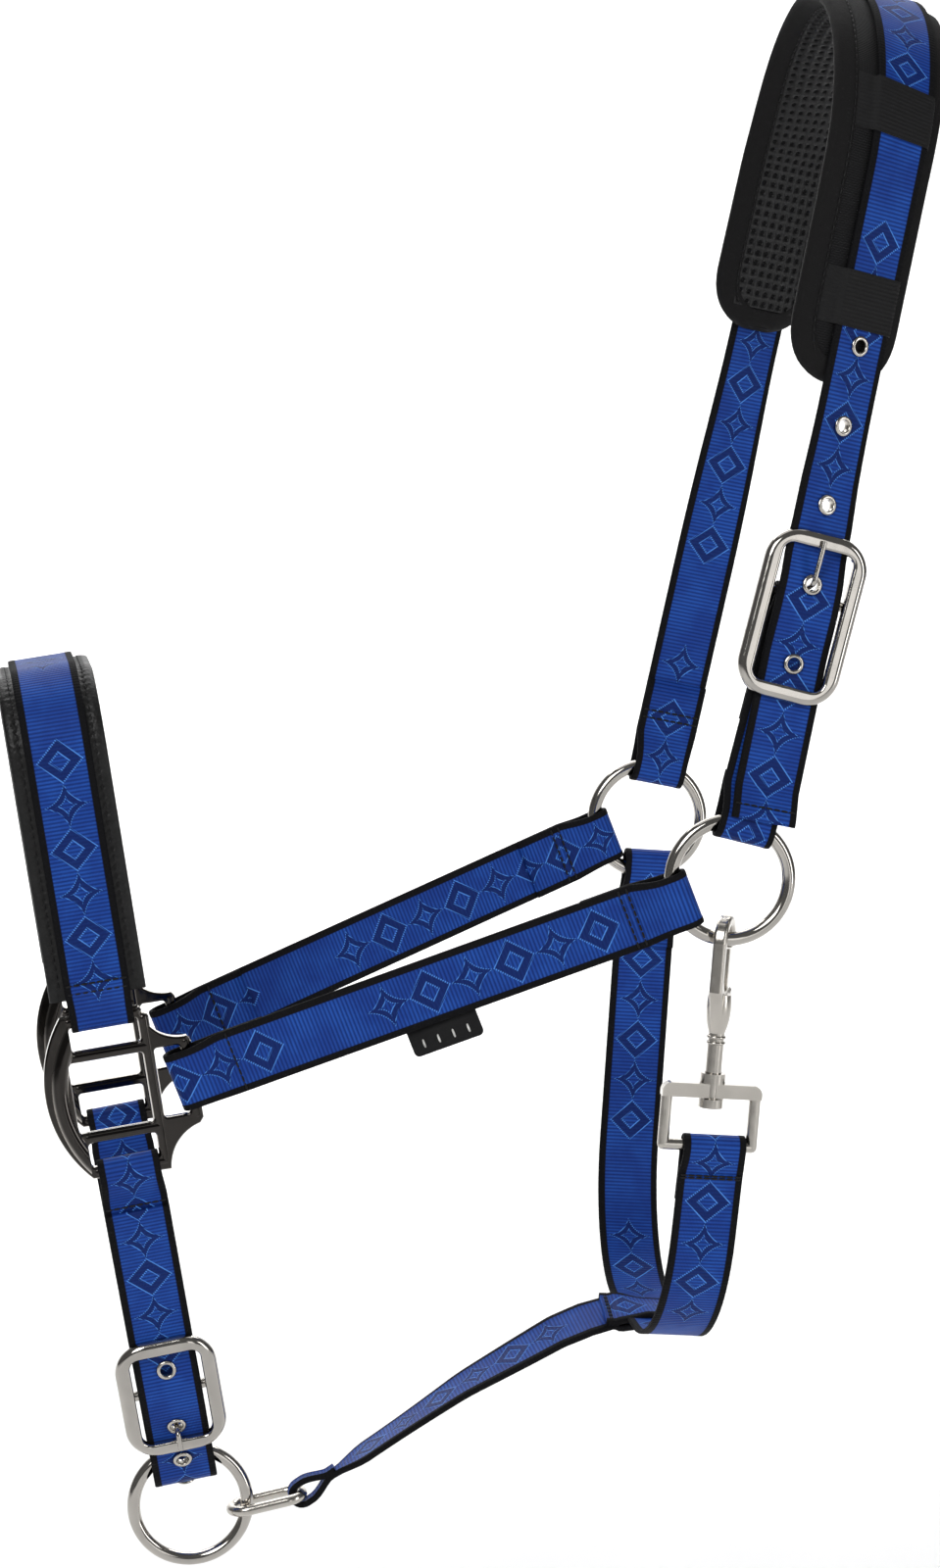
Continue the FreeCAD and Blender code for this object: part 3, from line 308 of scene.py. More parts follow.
def foot_behind(wire, direction):
    return (wire[0] - direction[0] * RING_R, wire[1] - direction[1] * RING_R)


def smoothstep(low, high, x):
    t = min(max((x - low) / (high - low), 0.0), 1.0)
    return t * t * (3 - 2 * t)


# ---- stations: a point, the strap's width direction and its half width
def chaikin(points):
    """Rounds a polyline's corners twice, keeping its ends."""
    for _ in range(2):
        out = [points[0]]
        for a, b in zip(points, points[1:]):
            out.append(tuple(p * 0.75 + q * 0.25 for p, q in zip(a, b)))
            out.append(tuple(p * 0.25 + q * 0.75 for p, q in zip(a, b)))
        out.append(points[-1])
        points = out
    return points


def eye(near, far, gap, merge, sewn, loop_w=LOOP_W, full_w=WEB_W):
    """(x, n, width) of a sewn strap end, from the flap's cut end round the wire to the strap.

    The loop holds what lies between near and far, its inner faces a gap from the strap's line; the
    plies meet at merge and the flap ends at sewn.
    """
    mid = near + gap
    mean = gap + WEB_T / 2
    half = [(merge + 1, PLY_N, full_w), (far + 1, mean, loop_w), (mid, mean, loop_w)]
    angles = [math.radians(-90 - 180 * i / 12) for i in range(12)]
    arc = [(mid + mean * math.cos(angle), mean * math.sin(angle), loop_w) for angle in angles]
    lower = [(sewn, -PLY_N, full_w), ((sewn + merge) / 2 + 1, -PLY_N, full_w)]
    lower += chaikin([(merge + 3, -PLY_N, full_w)] + [(x, -n, w) for x, n, w in half])
    upper = chaikin(half[::-1] + [(merge + 3, PLY_N, full_w)])
    return lower[:-1] + arc + upper


def placed(points, place, width_dir):
    origin, x_dir, out = place
    return [(origin + x_dir * x + out * n, width_dir, w / 2) for x, n, w in points]


def first_eye(line, end):
    """Stations of the sewn end with which a strap begins."""
    return placed(eye(*end), line.frame(), line.plane.side)[:-1]


def last_eye(line, end):
    return first_eye(line, end)[::-1]


def on_route(route, plane, s):
    """Point, tangent and outward direction at a distance along a route."""
    (x, y), (tx, ty) = route.at(s)
    return plane.point(x, y), plane.direction(tx, ty), plane.direction(-ty, tx)


def inner_marks(route):
    return [s for s in route.s if 0.5 < s < route.length - 0.5]


def along(route, plane):
    """Stations on a whole route of webbing, its inner face on the route."""
    made = []
    for s in [0] + inner_marks(route) + [route.length]:
        (x, y), (tx, ty) = route.at(s)
        n = WEB_T / 2
        made.append((plane.point(x - ty * n, y + tx * n), plane.side, WEB_W / 2))
    return made


# ---- objects and meshes
def add_object(name, data):
    obj = bpy.data.objects.new(name, data)
    bpy.context.scene.collection.objects.link(obj)
    return obj


def aim(obj, direction):
    """Turns a camera or a lamp to look this way, upright."""
    obj.rotation_mode = "QUATERNION"
    obj.rotation_quaternion = direction.to_track_quat("-Z", "Y")


def new_object(name, verts, faces, uvs=None):
    mesh = bpy.data.meshes.new(name)
    mesh.from_pydata([world(v) for v in verts], [], faces)
    if uvs is not None:
        layer = mesh.uv_layers.new(name="UVMap")
        for loop in mesh.loops:
            layer.data[loop.index].uv = uvs[loop.vertex_index]
    mesh.polygons.foreach_set("use_smooth", [True] * len(mesh.polygons))
    mesh.validate()
    mesh.update()
    return add_object(name, mesh)


def grid_faces(rows, count, closed=True):
    """Quads between successive rows of count vertices; closed joins the ends of each row."""
    faces = []
    for i in range(rows - 1):
        for k in range(count if closed else count - 1):
            m = (k + 1) % count
            faces.append((i * count + k, i * count + m, (i + 1) * count + m, (i + 1) * count + k))
    return faces


def capped(rows, count):
    """Faces of a closed tube of rows."""
    last = (rows - 1) * count
    return grid_faces(rows, count) + [tuple(range(count))[::-1], tuple(range(last, last + count))]


def spokes(side, up, rounds):
    angles = [2 * math.pi * k / rounds for k in range(rounds)]
    return [side * math.cos(angle) + up * math.sin(angle) for angle in angles]


def nearest(points, values):
    """A function that gives the value of the point nearest to where it is asked."""
    return lambda p: values[min(range(len(points)), key=lambda i: (points[i] - p).length)]


def tangents(points):
    out = []
    for i in range(len(points)):
        a = points[max(i - 1, 0)]
        b = points[min(i + 1, len(points) - 1)]
        out.append((b - a).normalized())
    return out


# across the strap: share of the half width, and height in half thicknesses
BAND_SECTION = [(-1.0, -0.45), (-0.985, -0.9), (-0.93, -1.08), (-0.78, -1.05), (-0.74, -0.95), (-0.4, -0.95)]
BAND_SECTION += [(0.0, -0.95)] + [(-a, n) for a, n in BAND_SECTION[::-1]]
BAND_SECTION += [(a, -n) for a, n in BAND_SECTION[::-1]]


def band(name, stations, thickness=WEB_T, u0=0.0):
    """A closed strap of webbing through the stations, with a thicker selvedge at both edges."""
    points = [p for p, _, _ in stations]
    directions = tangents(points)
    verts, uvs = [], []
    count = len(BAND_SECTION)
    travelled = u0
    for i, (p, w, half) in enumerate(stations):
        if i:
            travelled += (p - points[i - 1]).length
        normal = w.cross(directions[i]).normalized()
        across = directions[i].cross(normal).normalized()
        for a, n in BAND_SECTION:
            verts.append(p + across * (a * half) + normal * (n * thickness / 2))
            uvs.append((travelled / WEB_W, (a + 1) / 2))
    faces = grid_faces(len(stations), count)
    last = (len(stations) - 1) * count
    for base, flip in ((0, False), (last, True)):
        for j in range(count // 2 - 1):
            quad = (base + j, base + count - 1 - j, base + count - 2 - j, base + j + 1)
            faces.append(quad[::-1] if flip else quad)
    return new_object(name, verts, faces, uvs)


def join_meshes(name, verts_faces):
    """One object from several (verts, faces) lists."""
    verts, faces = [], []
    for vs, fs in verts_faces:
        base = len(verts)
        verts += vs
        faces += [tuple(base + i for i in f) for f in fs]
    return new_object(name, verts, faces)


# along a stitch: share of its length, share of its radius, and lift in radii
STITCH_RINGS = [(0.0, 0.35, -0.7), (0.12, 0.85, -0.1), (0.35, 1.0, 0.25), (0.65, 1.0, 0.25),
                (0.88, 0.85, -0.1), (1.0, 0.35, -0.7)]


def capsule(a, b, radius, up):
    """A stitch: a short thread between two points, sinking at both ends."""
    axis = (b - a).normalized()
    side = axis.cross(up).normalized()
    up = side.cross(axis)
    around = spokes(side, up, 6)
    verts = []
    for share, size, lift in STITCH_RINGS:
        centre = a.lerp(b, share) + up * (lift * radius)
        verts += [centre + spoke * (radius * size) for spoke in around]
    return verts, capped(len(STITCH_RINGS), len(around))


def row_of_stitches(points, up, length=2.5, gap=0.3, radius=0.4):
    """Stitches along a polyline; up gives the surface normal at a point."""
    total = sum((b - a).length for a, b in zip(points, points[1:]))
    count = max(1, int(total / (length + gap)))
    pitch = total / count

    def at(d):
        for a, b in zip(points, points[1:]):
            size = (b - a).length
            if d <= size:
                return a.lerp(b, d / max(size, 1e-9))
            d -= size
        return points[-1]
    made = []
    for i in range(count):
        start, stop = pitch * i + gap / 2, pitch * (i + 1) - gap / 2
        made.append(capsule(at(start), at(stop), radius, up(at((start + stop) / 2))))
    return made


def cross_seam(place, x, n=SEAM_N, doubled=3.2):
    """Rows of stitches across a strap at x, on its face at height n."""
    origin, x_dir, out = place
    edge = x_dir.cross(out) * (WEB_W / 2 - SEAM_INSET)
    made = []
    for dx in ([0.0, doubled] if doubled else [0.0]):
        centre = origin + x_dir * (x + dx) + out * n
        made += row_of_stitches([centre - edge, centre + edge], lambda p: out if n > 0 else -out)
    return made


def seam_through(place, x, doubled=3.2):
    """The same seam on both faces of a doubled strap."""
    return cross_seam(place, x, SEAM_N, doubled) + cross_seam(place, x, -SEAM_N, doubled)


# ---- material helpers
class Shader:
    """A node material and short calls for its maths."""

    def __init__(self, name, base, roughness, metallic=0.0, specular=0.5):
        self.material = bpy.data.materials.new(name)
        self.material.use_nodes = True
        self.material.diffuse_color = (*base, 1)
        self.tree = self.material.node_tree
        self.surface = self.tree.nodes["Principled BSDF"].inputs
        for socket, value in (("Base Color", (*base, 1)), ("Roughness", roughness),
                              ("Metallic", metallic), ("Specular IOR Level", specular)):
            self.surface[socket].default_value = value

    def feed(self, socket, value):
        if isinstance(value, bpy.types.NodeSocket):
            self.tree.links.new(value, socket)
        else:
            socket.default_value = value

    def node(self, kind, feeds, **settings):
        """The outputs of a new node with these settings and inputs."""
        made = self.tree.nodes.new("ShaderNode" + kind)
        for key, value in settings.items():
            setattr(made, key, value)
        for socket, value in feeds.items():
            self.feed(made.inputs[socket], value)
        return made.outputs

    def math(self, operation, a, b=0.0, c=0.0):
        return self.node("Math", {0: a, 1: b, 2: c}, operation=operation)[0]

    def times(self, a, b):
        return self.math("MULTIPLY", a, b)

    def blend_sum(self, a, share, b):
        """a * share + b."""
        return self.math("MULTIPLY_ADD", a, share, b)

    def inverse(self, x):
        return self.math("SUBTRACT", 1.0, x)

    def step(self, low, high, x):
        """0 below low, 1 above high, smooth between."""
        feeds = {"Value": x, "From Min": low, "From Max": high}
        return self.node("MapRange", feeds, interpolation_type="SMOOTHSTEP")["Result"]

    def line_at(self, x, at, core, soft):
        """1 where x is within core of a value, 0 beyond soft."""
        return self.inverse(self.step(core, soft, self.math("ABSOLUTE", self.math("SUBTRACT", x, at))))

    def ridge(self, x, pitch):
        """A wave from 0 to 1 with a period of the pitch."""
        return self.blend_sum(self.math("SINE", self.times(x, 2 * math.pi / pitch)), 0.5, 0.5)

    def mix(self, share, a, b):
        """a where share is 0 and b where it is 1."""
        a, b = [(*color, 1) if isinstance(color, tuple) else color for color in (a, b)]
        return self.node("Mix", {"Factor": share, "A": a, "B": b}, data_type="RGBA")["Result"]

    def place(self):
        return self.node("TexCoord", {})["Object"]

    def noise(self, scale, detail=3.0):
        return self.node("TexNoise", {"Vector": self.place(), "Scale": scale, "Detail": detail})["Fac"]

    def cells(self, scale):
        return self.node("TexVoronoi", {"Vector": self.place(), "Scale": scale})["Distance"]

    def uv_mm(self):
        """Distance along and across the webbing in millimetres, the second from its middle."""
        split = self.node("SeparateXYZ", {0: self.node("UVMap", {}, uv_map="UVMap")[0]})
        return self.times(split["X"], WEB_W), self.blend_sum(split["Y"], WEB_W, -WEB_W / 2)

    def color(self, value):
        self.feed(self.surface["Base Color"], value)

    def rough(self, value):
        self.feed(self.surface["Roughness"], value)

    def bump(self, height, distance, strength):
        made = self.node("Bump", {"Height": height, "Distance": distance, "Strength": strength})
        self.feed(self.surface["Normal"], made[0])


BLUE = (0.012, 0.058, 0.33)
DEEP_BLUE = (0.003, 0.015, 0.11)
BEAD_BLUE = (0.09, 0.30, 0.85)
LIGHT_BLUE = (0.018, 0.092, 0.45)
BLACK = (0.004, 0.004, 0.005)
GROUP = 136.0            # the woven figures repeat at this length
FIGURE = 17.0            # one figure's length
FIGURES = 6              # stars and lozenges in a group
SELVEDGE = (9.55, 9.95)  # where the black edge begins, from the middle
STAR = (9.4, 9.2)        # half sizes along and across
LOZENGE = (8.4, 9.0)
STAR_POWER = 0.62
FIGURE_RIM = 0.97        # share of a figure where its outer beads lie
FIGURE_HOLLOW = 0.42
BEAD_PITCH = 1.3
RIB_PITCH = 1.5
WARP_PITCH = 0.55


def tinted(color, share):
    return tuple(c * share for c in color)


def webbing():
    """Royal blue webbing with black selvedges and woven star and lozenge figures."""
    sh = Shader("webbing_blue", BLUE, 0.5, specular=0.12)
    x, y = sh.uv_mm()
    reach = sh.math("ABSOLUTE", y)
    edge = sh.step(*SELVEDGE, reach)
    in_group = sh.math("FLOORED_MODULO", x, GROUP)
    figures = sh.math("LESS_THAN", in_group, FIGURE * FIGURES)
    local = sh.math("SUBTRACT", sh.math("FLOORED_MODULO", in_group, FIGURE), FIGURE / 2)
    parity = sh.math("FLOORED_MODULO", sh.math("FLOOR", sh.math("DIVIDE", in_group, FIGURE)), 2.0)
    length = sh.math("ABSOLUTE", local)

    def shares(size):
        return sh.math("DIVIDE", length, size[0]), sh.math("DIVIDE", reach, size[1])
    arms = [sh.math("POWER", share, STAR_POWER) for share in shares(STAR)]
    star = sh.math("POWER", sh.math("ADD", *arms), 1 / STAR_POWER)
    lozenge = sh.math("ADD", *shares(LOZENGE))
    shape = sh.math("ADD", sh.times(star, sh.inverse(parity)), sh.times(lozenge, parity))
    inside = sh.inverse(sh.step(FIGURE_RIM - 0.04, FIGURE_RIM, shape))
    hollow = sh.step(FIGURE_HOLLOW, FIGURE_HOLLOW + 0.04, shape)
    body = sh.times(sh.times(inside, hollow), figures)
    outlines = sh.math("MAXIMUM", sh.line_at(shape, FIGURE_RIM, 0.03, 0.075),
                       sh.line_at(shape, FIGURE_HOLLOW, 0.03, 0.08))
    beads = sh.math("GREATER_THAN", sh.ridge(sh.math("ADD", x, y), BEAD_PITCH), 0.45)
    line = sh.times(sh.times(beads, outlines), figures)
    rib = sh.ridge(x, RIB_PITCH)
    tint = sh.mix(sh.step(0.35, 0.7, sh.noise(70.0)), BLUE, LIGHT_BLUE)
    # Painted shade: the valleys between the ribs are pulled towards deep blue, so the rib crests read
    # lighter.
    tint = sh.mix(sh.times(sh.inverse(rib), 0.75), tint, DEEP_BLUE)
    tint = sh.mix(sh.times(body, 0.85), tint, DEEP_BLUE)
    tint = sh.mix(sh.times(line, 0.9), tint, BEAD_BLUE)
    sh.color(sh.mix(edge, tint, BLACK))
    sh.rough(sh.blend_sum(edge, 0.25, 0.5))
    height = sh.blend_sum(rib, 0.5, sh.times(sh.ridge(y, WARP_PITCH), 0.25))
    height = sh.math("SUBTRACT", height, sh.times(body, 0.6))
    height = sh.math("ADD", height, sh.times(line, 0.5))
    sh.bump(height, 0.00022, 0.9)
    return sh.material


def grained(name, base, roughness, scale=900.0, depth=0.00018):
    """Leather-look cloth: fine cells with soft creases, with painted shade in their hollows and painted
    light on their rises.
    """
    sh = Shader(name, base, roughness, specular=0.3)
    crease = sh.noise(scale / 6)
    sh.rough(sh.blend_sum(crease, 0.25, roughness - 0.1))
    # Painted shade and light: the colour darkens where the crease noise sinks the bump and lightens where it
    # raises it.
    sh.color(sh.mix(sh.step(0.3, 0.75, crease), tinted(base, 0.7), tinted(base, 1.4)))
    sh.bump(sh.math("ADD", sh.cells(scale), sh.times(crease, 0.6)), depth, 0.8)
    return sh.material


def ribbed(name, base, roughness, pitch):
    """Narrow woven tape or elastic: ribs along the UV's first direction, with painted light on their crests
    and painted shade in their valleys.
    """
    sh = Shader(name, base, roughness, specular=0.25)
    rib = sh.ridge(sh.uv_mm()[0], pitch)
    fine = sh.noise(1500.0)
    # Painted light and shade: dark in the rib valleys, light on the crests that the bump raises, varied by
    # fine noise.
    shade = sh.times(rib, sh.blend_sum(fine, 0.6, 0.6))
    sh.color(sh.mix(shade, tinted(base, 0.6), tinted(base, 2.2)))
    sh.bump(sh.blend_sum(fine, 0.3, rib), 0.0003, 0.8)
    return sh.material


def metal(name, base, low, high, face=None):
    """Cast metal with faint waves and fine scratches; face is a painted dark reflection on what is seen
    squarely.
    """
    sh = Shader(name, base, low, metallic=1.0)
    wave = sh.noise(65.0, 2.0)
    sh.rough(sh.blend_sum(sh.noise(2080.0, 4.0), high - low, low))
    tint = sh.mix(sh.step(0.3, 0.8, wave), base, tinted(base, 0.86))
    if face:
        # Painted dark reflection: faces seen squarely take the dark face colour, faces seen edge-on keep the
        # pale base, as if the metal mirrored dark surroundings with bright rims.
        facing = sh.node("LayerWeight", {"Blend": 0.5})["Facing"]
        tint = sh.mix(sh.step(0.12, 0.65, facing), face, tint)
    sh.color(tint)
    sh.bump(wave, 0.0006, 0.35)
    return sh.material


WEBBING = webbing()
CHROME = metal("nickel_polished", (0.50, 0.475, 0.44), 0.06, 0.15)
# The squares' chrome has a painted dark reflection on the faces seen squarely.
CHROME_PAINTED_DARK_REFLECTION = metal("chrome_painted_dark_reflection", (0.62, 0.59, 0.55), 0.05, 0.13, face=(0.05, 0.046, 0.043))
NICKEL = metal("nickel_satin", (0.56, 0.53, 0.485), 0.15, 0.28)
LEATHER = grained("sleeve_leather", (0.006, 0.006, 0.006), 0.42)
COVER = ribbed("pad_cover_cloth", (0.004, 0.004, 0.0045), 0.75, 0.9)
LINING = grained("pad_lining", (0.006, 0.006, 0.0065), 0.42, 700.0)
BINDING = grained("pad_binding_cloth", (0.0035, 0.0032, 0.0035), 0.85, 1600.0, 0.0001)
ELASTIC = ribbed("keeper_elastic", (0.004, 0.004, 0.0045), 0.7, 1.5)
THREAD = grained("thread_black", (0.005, 0.005, 0.0055), 0.55, 2500.0, 0.0001)
TAB_THREAD = grained("tab_thread_pale", (0.62, 0.62, 0.60), 0.6, 2500.0, 0.0001)
KEEPER = grained("keeper_cloth", (0.005, 0.005, 0.0055), 0.7, 1800.0, 0.0001)


def finish_piece(obj, body, material, replaced=()):
    obj.data.materials.clear()
    obj.data.materials.append(material)
    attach(obj, body)
    if replaced:
        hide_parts(*replaced)
    return obj


def add_webbing(name, body, node, stations, u0, cutters=(), thickness=WEB_T):
    """A strap's webbing in place of its node; u0 is where the weave starts."""
    made = band(name, stations, thickness, u0)
    cut_with(made, cutters)
    return finish_piece(made, body, WEBBING, [node])


def cut_with(obj, cutters):
    """Takes closed shapes out of a piece for good."""
    for verts, faces in cutters:
        cutter = new_object("cutter", verts, faces)
        change = obj.modifiers.new("hole", "BOOLEAN")
        change.operation = "DIFFERENCE"
        change.solver = "EXACT"
        change.object = cutter
        bpy.context.view_layer.update()
        got = bpy.data.meshes.new_from_object(obj.evaluated_get(bpy.context.evaluated_depsgraph_get()))
        obj.modifiers.clear()
        obj.data = got
        bpy.data.objects.remove(cutter)


def cylinder(centre, axis, radius, half):
    side = axis.orthogonal().normalized()
    around = spokes(side, axis.cross(side), 28)
    verts = [centre + axis * end + spoke * radius for end in (-half, half) for spoke in around]
    return verts, capped(2, len(around))


# (radius, height) pairs round a rolled eyelet's section
EYELET_RIM = [(2.6, 1.75), (3.1, 1.8), (3.7, 1.5), (3.95, 1.05), (2.7, 0.8)]
EYELET_PROFILE = [(2.4, -1.3), (2.32, 0.0), (2.4, 1.3)] + EYELET_RIM + [(r, -h) for r, h in EYELET_RIM[::-1]]


def eyelet(centre, axis, rounds=40):
    """The profile turned about an axis; it closes on itself."""
    side = axis.orthogonal().normalized()
    verts, faces = [], []
    count = len(EYELET_PROFILE)
    for radial in spokes(side, axis.cross(side), rounds):
        verts += [centre + radial * r + axis * h for r, h in EYELET_PROFILE]
    for k in range(rounds):
        m = (k + 1) % rounds
        for j in range(count):
            i = (j + 1) % count
            faces.append((k * count + j, m * count + j, m * count + i, k * count + i))
    return verts, faces


def holes_for(spots):
    return [cylinder(centre, axis, EYELET_HOLE_R, EYELET_HOLE_HALF) for centre, axis in spots]


def add_eyelets(name, body, node, spots):
    made = join_meshes(name, [eyelet(centre, axis) for centre, axis in spots])
    finish_piece(made, body, NICKEL, [node])


# ---- crown strap, from the billet's free end over the poll to the far ring
crown_wire = (-RING_HALF_SPAN, RING_R)
near_lean = unit2(crown_wire, (-CROWN_TOP_HALF, CROWN_TOP))
near_crown = Side(crown, foot_behind(crown_wire, near_lean), near_lean)
far_crown = near_crown.mirrored()


def weave(bar_s, frame_top, rise_s):
    """Heights of a billet's underside above the chape's line, where it passes the buckle."""
    return [(rise_s, BILLET_LOW), (bar_s - 5, BILLET_OVER), (bar_s + 6, BILLET_OVER),
            (frame_top - 9, BILLET_LOW), (frame_top + 3, BILLET_LOW)]


crown_knots = [(24.0, BULGE), (26.0, BULGE), (36.1, BILLET_LOW)]
crown_frame_top = CROWN_BAR_S + CROWN_BUCKLE_L / 2 - CROWN_BAR_UP
crown_knots += weave(CROWN_BAR_S, crown_frame_top, CROWN_BAR_S - 21)
crown_knots.append((crown_frame_top + 20, 0))
crown_route = Route([near_crown.flat(s, n) for s, n in crown_knots] +
                    [(-CROWN_TOP_HALF, CROWN_TOP), (CROWN_TOP_HALF, CROWN_TOP), far_crown.flat(END_S, 0)],
                    [5, 5] + [20] * (len(crown_knots) - 3) + [CROWN_BEND, CROWN_BEND])
pad_begin = near_crown.distance(crown_route, PAD_START)
pad_stop = crown_route.length - (PAD_FAR_START - END_S)
poll_s = (pad_begin + pad_stop) / 2


def crown_turn(s):
    """The crown's turn about its own line: none at the buckle, poll and far ring."""
    d = s - poll_s
    reach = abs(d)
    size = smoothstep(0, 110, reach) * (1 - smoothstep(190, 285, reach))
    return math.radians(CROWN_TURN) * size * math.copysign(1, -d)


def crown_place(s):
    """Origin, tangent, width direction and outward direction on the turned crown."""
    origin, t, out = on_route(crown_route, crown, s)
    c, d = math.cos(crown_turn(s)), math.sin(crown_turn(s))
    return origin, t, crown.side * c - out * d, out * c + crown.side * d


def crown_point(s, a, n):
    origin, _, w, out = crown_place(s)
    return origin + w * a + out * n


crown_stations = []
for s in [0.0] + inner_marks(crown_route) + [crown_route.length]:
    origin, _, w, out = crown_place(s)
    crown_stations.append((origin + out * (WEB_T / 2), w, WEB_W / 2))
crown_spots = []
for i in range(-1, 4):
    s = near_crown.distance(crown_route, CROWN_BAR_S + EYELET_UP + EYELET_PITCH * i)
    crown_spots.append((crown_point(s, 0, WEB_T / 2), crown_place(s)[3]))
crown_stations += last_eye(far_crown, (*RING_EYE, 58.0))
add_webbing("crown_strap_webbing", "crown", "crown_strap", crown_stations, 8.0, holes_for(crown_spots))
add_eyelets("crown_eyelets_rolled", "crown", "crown_eyelets", crown_spots)


# ---- chapes: from a ring or bar to the buckle's centre bar
def add_chape(name, body, place, first, bar_s, width_dir, u0):
    """A doubled strap whose far eye holds the buckle's bar and is slotted for the tongue."""
    half = PIN_R + 0.15
    last = [(bar_s - x, n, w) for x, n, w in eye(-half, half, half, 9.0, 50.0, WEB_W - 1)[::-1]]
    run = []
    x = first[-1][0] + 6
    while x < bar_s - 14:
        run.append((x, PLY_N, WEB_W))
        x += 6
    origin, x_dir, out = place
    centre = origin + x_dir * (bar_s + SLOT_SHIFT)
    half_l, half_t, half_w = x_dir * SLOT_HALF[0], out * SLOT_HALF[1], x_dir.cross(out) * SLOT_HALF[2]
    slot = [centre + half_l * i + half_t * j + half_w * k for i in (-1, 1) for j in (-1, 1) for k in (-1, 1)]
    faces = [(0, 1, 3, 2), (4, 6, 7, 5), (0, 4, 5, 1), (2, 3, 7, 6), (0, 2, 6, 4), (1, 5, 7, 3)]
    add_webbing(name + "_webbing", body, name, placed(first + run + last, place, width_dir), u0,
                [(slot, faces)])


chape_foot = near_crown.frame()[0] - crown.side * CROWN_SET_BACK
used_eyelet = crown.point(*near_crown.flat(CROWN_BAR_S + EYELET_UP, 0))
chape_rise = (used_eyelet - chape_foot).normalized()
chape_place = (chape_foot, chape_rise, near_crown.frame()[2])
crown_bar = (used_eyelet - chape_foot).length - EYELET_UP
add_chape("crown_chape", "crown", chape_place, eye(*RING_EYE, 40.0), crown_bar,
          chape_rise.cross(chape_place[2]), 60.0)


# ---- far and near cheek straps, each from its fitting's outer bar to its side ring
def cheek_line(side):
    """Start on the fitting's outer bar, foot behind the ring's wire, and the directions."""
    start = SQUARE_POS + nose_back * OUTER_BAR + SIDE * (side * SQUARE_HALF_SPAN)
    centre = SIDE * (side * RING_HALF_SPAN)
    wire = centre + Vector((start.x, 0, start.z)).normalized() * RING_R
    x_dir = (wire - start).normalized()
    across = Vector((-x_dir.z, 0, x_dir.x)).normalized()
    out = across.cross(x_dir)
    if out.y * side < 0:
        out = -out
    return start, wire + x_dir * RING_R, x_dir, out


def seam_object(name, seams, body):
    made = join_meshes(name, seams)
    return finish_piece(made, body, THREAD)


nose_seams = []
for name, side in (("near_cheek", -1), ("far_cheek", 1)):
    start, end, x_dir, out = cheek_line(side)
    length = (end - start).length
    run = [(x, PLY_N, WEB_W) for x in range(24, int(length) - 42, 8)]
    high = [(length - x, n, wide) for x, n, wide in eye(*CHEEK_HIGH_END)[::-1]]
    place = (start, x_dir, out)
    add_webbing(name + "_webbing", "nose", name + "_strap",
                placed(eye(*CHEEK_LOW_END) + run + high, place, x_dir.cross(out)), 11.0)
    nose_seams += seam_through(place, CHEEK_LOW_SEAM, 0) + seam_through(place, length - CHEEK_HIGH_SEAM)


def size_tab():
    """A folded woven tab sewn under the near cheek strap's lower edge, with plain woven bars."""
    start, _, x_dir, out = cheek_line(-1)
    w = x_dir.cross(out)
    down = w if w.z < 0 else -w
    centre = start + x_dir * TAB_S + down * (WEB_W / 2)
    outline = []        # two round corners below, and the tucked edge above
    for side in (1, -1):
        for i in range(7):
            angle = math.radians(45 - 45 * side + 90 * i / 6)
            outline.append((side * (TAB_L / 2 - TAB_CORNER) + TAB_CORNER * math.cos(angle),
                            TAB_DEEP + TAB_CORNER * math.sin(angle)))
    outline += [(-TAB_L / 2, TAB_TUCK), (TAB_L / 2, TAB_TUCK)]
    verts = []
    for height, inset in ((-1.05, 0.25), (-0.8, 0.0), (-0.45, 0.0), (-0.2, 0.25)):
        for x, y in outline:
            px = x - math.copysign(inset, x)
            verts.append(centre + x_dir * px + down * (y - (inset if y > 0 else 0)) + out * height)
    tab = join_meshes("size_tab_cloth", [(verts, capped(4, len(outline)))])
    finish_piece(tab, "nose", ELASTIC, ["size_tab"])
    marks = []
    reach = down * 1.8
    for i in range(4):
        c = centre + x_dir * (-9.0 + 6.0 * i) + down * 6.2
        for face in (out * -0.1, out * -1.15):
            marks.append(capsule(c - reach + face, c + reach + face, 0.42, out))
    bars = join_meshes("size_tab_woven_bars", marks)
    finish_piece(bars, "nose", TAB_THREAD)


size_tab()


# ---- noseband: webbing with an eye round each fitting's top bar, sewn on a padded sleeve
nose_lean = unit2((-SQUARE_HALF_SPAN, TOP_BAR), (-NOSE_TOP_HALF, NOSE_TOP))
near_nose = Side(nose, (-SQUARE_HALF_SPAN, TOP_BAR), nose_lean)
far_nose = near_nose.mirrored()


def nose_line(start_s):
    return Route([near_nose.flat(start_s, 0), (-NOSE_TOP_HALF, NOSE_TOP), (NOSE_TOP_HALF, NOSE_TOP),
                  far_nose.flat(start_s, 0)], [NOSE_BEND, NOSE_BEND])


nose_stations = first_eye(near_nose, NOSE_END) + along(nose_line(14.0), nose)
nose_stations += last_eye(far_nose, NOSE_END)
add_webbing("noseband_webbing", "nose", "noseband_strap", nose_stations, GROUP - 42)


def tube_of_sections(name, places, section):
    """A closed piece through places (origin, width direction, outward direction) with section(i)."""
    verts, texture = [], []
    travelled = 0.0
    for i, (origin, w, out) in enumerate(places):
        if i:
            travelled += (origin - places[i - 1][0]).length
        for a, n in section(i):
            verts.append(origin + w * a + out * n)
            texture.append((travelled / WEB_W, a / WEB_W + 0.5))
    return new_object(name, verts, capped(len(places), len(section(0))), texture)


PUCKER = 3.4             # pitch of the sleeve's puckers
PUCKER_DEEP = 0.28
SLEEVE_MID = -2.6
SLEEVE_SEAM = 0.77       # share of the half width
EDGE_STITCH = (2.6, 0.8)


